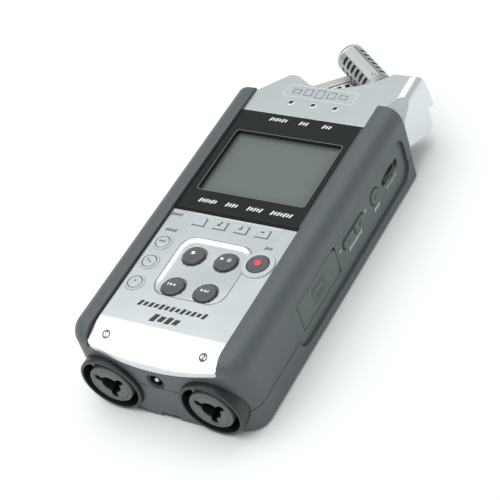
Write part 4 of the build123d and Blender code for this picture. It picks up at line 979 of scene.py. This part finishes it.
# %% [markdown]
# The power socket is a dark round hole with a bright steel pin in it. The pin is turned: a small
# dome, a straight shank, and a hidden foot.

# %% Power pin


dc_low, dc_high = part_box("dc_jack")
dc_centre = (dc_low + dc_high) / 2
turned("power_pin", [(-10.0, 0.94)] + dome(0.94, -0.9), (dc_centre.x, dc_low.y, dc_centre.z), (0, -1, 0),
       rim_metal, "casing")

# %% [markdown]
# Between the sockets runs the joint of the two shells, and under it the notch of the battery cover.
# Both are narrow gaps, so each gets a dark line on the surface beside it.

# %% Joint and notch at the socket end
end_spot = Spot("upper_case", (0, jack_end, 16.3 * MM), ACROSS, (0, 0, 1))
joint_line = [bar(-7.8 + 15.6 * (k + 0.5) / 12, 0.0, 15.6 / 12, 0.26) for k in range(12)]
mark("joint_line_end", joint_line, end_spot, hole_dark, "casing", 0.015)
notch_spot = Spot("lower_case", (0, jack_end, 4.4 * MM), ACROSS, (0, 0, 1))
notch = [bar(0.4 + 0.75 * k, 0.6, 0.75, 0.24) for k in range(6)] + [bar(0.1, -0.9, 0.5, 3.2)]
mark("notch_line_end", notch, notch_spot, hole_dark, "casing", 0.015)

# %% [markdown]
# ## Side panel marks
# The rocker is marked with a minus and a plus, the menu key with a short symbol, and bars stand for
# the words under them. The card door carries a faint raised card shape in its own colour.

# %% Right-hand side
SIDE_ACROSS, SIDE_UP = (0, 1, 0), (0, 0, 1)


def side_spot(node, side=1):
    """A drawing place in the middle of a piece on a side; +x runs towards the microphones."""
    low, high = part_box(node)
    middle = (low + high) / 2
    if side > 0:
        return Spot(node, (high.x, middle.y, middle.z), SIDE_ACROSS, SIDE_UP)
    return Spot(node, (low.x, middle.y, middle.z), (0, -1, 0), SIDE_UP)


mark("menu_symbol", [bar(0.0, 0.55, 2.2, 0.36), bar(0.0, -0.1, 2.2, 0.36), bar(-0.5, -0.75, 1.2, 0.36)],
     side_spot("menu_button"), print_black, "menu_button")
mark("rocker_signs", [bar(-4.4, 0, 2.2, 0.42), bar(4.3, 0, 2.2, 0.42), bar(4.3, 0, 0.42, 2.2)],
     side_spot("rec_level_rocker"), print_black, "rec_level_rocker")

controls_z = centre("menu_button").z


def panel_marks(name, shapes, node, side=1):
    """White print on the sunk panel, placed about a control that stands on it."""
    panel = "right_side_panel" if side > 0 else "left_side_panel"
    low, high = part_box(panel)
    x = high.x if side > 0 else low.x
    across = SIDE_ACROSS if side > 0 else (0, -1, 0)
    spot = Spot(panel, (x, centre(node).y, controls_z), across, SIDE_UP)
    return mark(name, shapes, spot, print_and_highlight_white, "casing")


divider = Spot("rec_level_rocker", (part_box("rec_level_rocker")[1].x, centre("rec_level_rocker").y,
                                    centre("rec_level_rocker").z), SIDE_ACROSS, SIDE_UP)
mark("rocker_divider", [bar(0.55, 0, 0.34, 3.2)], divider, print_black, "rec_level_rocker")
rocker_signs = [bar(-10.3, 0.2, 1.7, 0.35), bar(10.3, 0.2, 1.7, 0.35), bar(10.3, 0.2, 0.35, 1.7)]
panel_marks("rocker_end_signs", rocker_signs, "rec_level_rocker")
panel_marks("rocker_word_bars", word_bars(0.0, -4.4, 9, 1.5, 1.15, 0.5, 0.3), "rec_level_rocker")
panel_marks("menu_word_bars", word_bars(0.0, -5.2, 4, 1.5, 1.1, 0.5, 0.3), "menu_button")
panel_marks("wheel_line", [bar(0.0, -4.3, 8.4, 0.25)] + [bar(x, -4.3, 0.3, 1.3) for x in (-3.6, 0.0, 3.6)],
            "jog_wheel")

card_outline = [bar(0, 3.1, 9.0, 0.3), bar(0, -3.1, 9.0, 0.3), bar(-4.4, 0, 0.3, 6.2), bar(4.4, 0, 0.3, 6.2)]
card_outline += [bar(x, 1.9, 0.45, 1.4) for x in (-3.0, -2.0, -1.0, 0.0, 1.0, 2.0, 3.0)]
card_outline += [bar(0, -0.9, 5.6, 0.3), bar(0, -1.9, 5.6, 0.3)]
mark("card_door_emblem", card_outline, side_spot("sd_door"), door_plastic, "sd_door", 0.09)

# %% [markdown]
# ## Left-hand side and back
# These sides follow the same habits: a ring and bars at the phone socket, signs on the volume
# rocker, bars by the USB port and the power switch.

# %% Left-hand side
mark("volume_signs", [bar(-4.4, 0, 2.2, 0.42), bar(4.4, 0, 2.2, 0.42), bar(4.4, 0, 0.42, 2.2)],
     side_spot("volume_rocker", -1), print_black, "volume_rocker")
panel_marks("volume_word_bars", word_bars(0.0, -4.4, 6, 1.5, 1.15, 0.5, 0.3), "volume_rocker", -1)
panel_marks("usb_word_bars", word_bars(0.0, -5.0, 3, 1.5, 1.15, 0.5, 0.3), "usb_port", -1)
panel_marks("power_word_bars", word_bars(0.0, -4.4, 7, 1.4, 1.15, 0.5, 0.3), "power_switch", -1)
panel_marks("phones_arc", hoop(0, -0.2, 4.9, 0.3, 24, radians(200), radians(140)), "headphone_jack", -1)

# %% [markdown]
# ## Microphone head
# The three mode lamps sit in small bright rims. Between them and the head's hollow edge an outline
# is engraved: five upright bars of different heights, like a level meter.

# %% Lamp rims and engraved outline
head_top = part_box("head_front_shell")[1].z
head_spot = Spot("head_front_shell", (0, jack_end, head_top), ACROSS, ALONG)
lamps_low, lamps_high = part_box("mode_lamps")
lamp_reach = (lamps_high.x - lamps_low.x) / 2 - 0.9 * MM
lamp_middle = (lamps_low + lamps_high) / 2
for index in (-1, 0, 1):
    where = (lamp_middle.x + index * lamp_reach, lamp_middle.y, head_top)
    turned("lamp_rim_" + str(index + 2),
           [(-0.3, 0.88), (0.0, 0.86), (0.06, 0.95), (0.09, 1.2), (0.06, 1.5), (-0.02, 1.65), (-0.3, 1.65),
            (-0.3, 0.88)],
           where, (0, 0, 1), rim_metal, "casing", 36)

outline = []
line = 0.36
for index, height in enumerate((2.0, 3.2, 4.4, 3.2, 2.0)):
    x, half_w, half_h = 0.6 + (index - 2) * 4.9, 1.5, height / 2
    y = 133.1
    outline += [bar(x, y + half_h, 2 * half_w, line), bar(x, y - half_h, 2 * half_w, line),
                bar(x - half_w, y, line, height + line), bar(x + half_w, y, line, height + line)]
mark("head_outline", outline, head_spot, outline_grey, "casing", 0.02)
# Painted highlight: a thin white loop round the engraved outline, on the rim of the engraving.
border_highlight = []
loop_out = rounded_loop(Vector((0.6, 133.1)), Vector((14.6, 3.3)), 0.9, 4)
loop_in = rounded_loop(Vector((0.6, 133.1)), Vector((14.4, 3.1)), 0.8, 4)
for index in range(len(loop_out)):
    after = (index + 1) % len(loop_out)
    border_highlight.append([loop_in[index], loop_out[index], loop_out[after], loop_in[after]])
mark("head_border_highlight", border_highlight, head_spot, print_and_highlight_white, "casing", 0.015)

# %% [markdown]
# ## Capsule tubes
# Each capsule is a tube with rows of narrow slots, so that sound reaches the element inside. The
# tube is built as a grid of faces round its axis, the faces of each slot are left out, and the
# sheet is then given its wall. A smooth label strip runs along the top, and a bright rim closes the
# front over a perforated cap.

# %% Slotted tube


def capsule_axis(level):
    """Middle, direction and the two directions across a capsule's tube, from its CAD pieces."""
    tip = centre("capsule_ring_" + level)
    middle = centre("capsule_barrel_" + level)
    axis = (tip - middle).normalized()
    up = Vector((0, 0, 1))
    return middle, axis, up, axis.cross(up)


tube_radius = 5.8
tube_wall = 0.7
tube_length = 24.0
columns = 120
slot_rows = 6
slot_pitch = 3.25
slot_width = 1.6
slot_start = 3.3
slot_sectors = ((43, 16), (88, 17), (134, 17), (180, 17), (224, 16), (266, 16), (312, 18))


def in_slot(turn_degrees):
    """Whether a direction round the tube lies in one of the slot columns; 0 is the top."""
    return any(abs((turn_degrees - middle + 180) % 360 - 180) < half for middle, half in slot_sectors)


def slotted_tube(level, body):
    """The tube of one capsule, with its wall and its slots."""
    middle, axis, up, across = capsule_axis(level)
    start = middle - axis * tube_length / 2 * MM
    levels = [0.0, 0.35, 0.9, 1.25]
    for row in range(slot_rows):
        low = slot_start + row * slot_pitch
        levels += [low, low + slot_width]
    levels += [tube_length - 0.3, tube_length]
    form = bmesh.new()
    rings = []
    for z in levels:
        ring = []
        radius = tube_radius - (0.35 if 0.3 < z < 1.0 else 0.0)
        for column in range(columns):
            turn = 2 * pi * column / columns
            off = up * cos(turn) * radius + across * sin(turn) * radius
            ring.append(form.verts.new(start + (axis * z + off) * MM))
        rings.append(ring)
    for k, (first, second) in enumerate(zip(rings, rings[1:])):
        slotted = k >= 4 and k % 2 == 0 and k < 4 + 2 * slot_rows
        join_rings(form, first, second,
                   lambda column: slotted and in_slot(360 * (column + 0.5) / columns))
    tube = settle(form, "slotted_tube_" + level, barrel_metal, body)
    wall = tube.modifiers.new("wall", "SOLIDIFY")
    wall.thickness, wall.offset, wall.use_even_offset = tube_wall * MM, -1.0, True
    soft = tube.modifiers.new("soft_edges", "BEVEL")
    soft.width, soft.segments, soft.limit_method = 0.08 * MM, 2, "ANGLE"
    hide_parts("capsule_barrel_" + level)
    return tube


for level in ("upper", "lower"):
    tube = slotted_tube(level, level + "_capsule")
    print(tube.name, "has", len(tube.data.polygons), "faces before its wall")

# %% [markdown]
# The label strip is a patch of a slightly larger tube, 0.16 mm proud, with a dark and a light line
# along one side. Small marks near its foot show which way the capsule is turned.

# %% Label strips


def strip_patch(name, level, body, half_turn, centre_turn, z_low, z_high, radius, wall, material):
    """A patch of a tube round a capsule's axis."""
    middle, axis, up, across = capsule_axis(level)
    start = middle - axis * tube_length / 2 * MM
    steps = max(2, int(half_turn * 2 / radians(3)))
    form = bmesh.new()
    grid = []
    for reach in (radius - wall, radius):
        for z in (z_low, z_high):
            line_points = []
            for step in range(steps + 1):
                turn = centre_turn - half_turn + 2 * half_turn * step / steps
                off = up * cos(turn) * reach + across * sin(turn) * reach
                line_points.append(form.verts.new(start + (axis * z + off) * MM))
            grid.append(line_points)
    inner_low, inner_high, outer_low, outer_high = grid
    for step in range(steps):
        for a, b in ((inner_low, inner_high), (outer_high, outer_low), (inner_high, outer_high),
                     (outer_low, inner_low)):
            form.faces.new((a[step], a[step + 1], b[step + 1], b[step]))
    for end in (0, steps):
        form.faces.new((inner_low[end], inner_high[end], outer_high[end], outer_low[end]))
    return settle(form, name, material, body)


for level in ("upper", "lower"):
    body = level + "_capsule"
    strip = strip_patch("label_strip_" + level, level, body, radians(22), radians(-5), 1.6, tube_length - 0.2,
                        tube_radius + 0.16, 0.5, label_paint)
    soft = strip.modifiers.new("soft_edges", "BEVEL")
    soft.width, soft.segments = 0.1 * MM, 2
    strip_patch("strip_line_" + level, level, body, radians(2.0), radians(19), 1.6, tube_length - 0.2,
                tube_radius + 0.04, 0.3, print_black)
    strip_patch("strip_line_light_" + level, level, body, radians(1.6), radians(23.4), 1.6, tube_length - 0.2,
                tube_radius + 0.10, 0.3, rim_metal)
    for index, (turn, z) in enumerate(((-8, 3.2), (3, 2.6), (-2, 4.0))):
        strip_patch("strip_dot_" + level + "_" + str(index + 1), level, body, radians(2.6), radians(turn),
                    z - 0.26, z + 0.26, tube_radius + 0.19, 0.1, print_black)

# %% [markdown]
# The front of a capsule is a bright rim with a domed cap full of round holes. The cap is a set of
# rings of faces; in every second ring, evenly spaced faces are left out.

# %% Rims and perforated caps
rim_profile = [(-0.8, 5.1), (-0.8, 5.8), (-0.5, 5.85), (0.0, 5.85), (0.15, 5.75), (0.7, 5.75), (0.8, 5.6),
               (0.8, 5.1), (0.6, 4.9), (0.0, 4.9), (-0.8, 5.1)]


def perforated_cap(level, body):
    """A slightly domed cap with rings of holes, set back in the rim."""
    middle, axis, up, across = capsule_axis(level)
    origin = centre("capsule_ring_" + level)
    form = bmesh.new()
    radii = [0.35 + 0.38 * k for k in range(13)]
    steps = 48
    rings = []
    for reach in radii:
        rise = 0.15 + 0.35 * (1 - (reach / radii[-1]) ** 2)
        rings.append([form.verts.new(origin + (axis * rise + up * cos(2 * pi * s / steps) * reach
                                               + across * sin(2 * pi * s / steps) * reach) * MM)
                      for s in range(steps)])
    for k, (first, second) in enumerate(zip(rings, rings[1:])):
        join_rings(form, first, second, lambda s: k % 2 == 1 and k > 2 and s % 2 == (k // 2) % 2)
    form.faces.new(rings[0])
    cap = settle(form, "perforated_cap_" + level, barrel_metal, body)
    wall = cap.modifiers.new("wall", "SOLIDIFY")
    wall.thickness, wall.offset = 0.25 * MM, -1.0
    return cap


for level in ("upper", "lower"):
    middle, axis, up, across = capsule_axis(level)
    rim = turned("capsule_rim_" + level, rim_profile, centre("capsule_ring_" + level), axis, rim_metal,
                 level + "_capsule", 72)
    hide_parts("capsule_ring_" + level)
    perforated_cap(level, level + "_capsule")

# %% [markdown]
# ## Size
# The CAD box is printed, in millimetres.

# %% Size
print("CAD box   ", [[round(v * 1000, 2) for v in corner] for corner in cad_box])
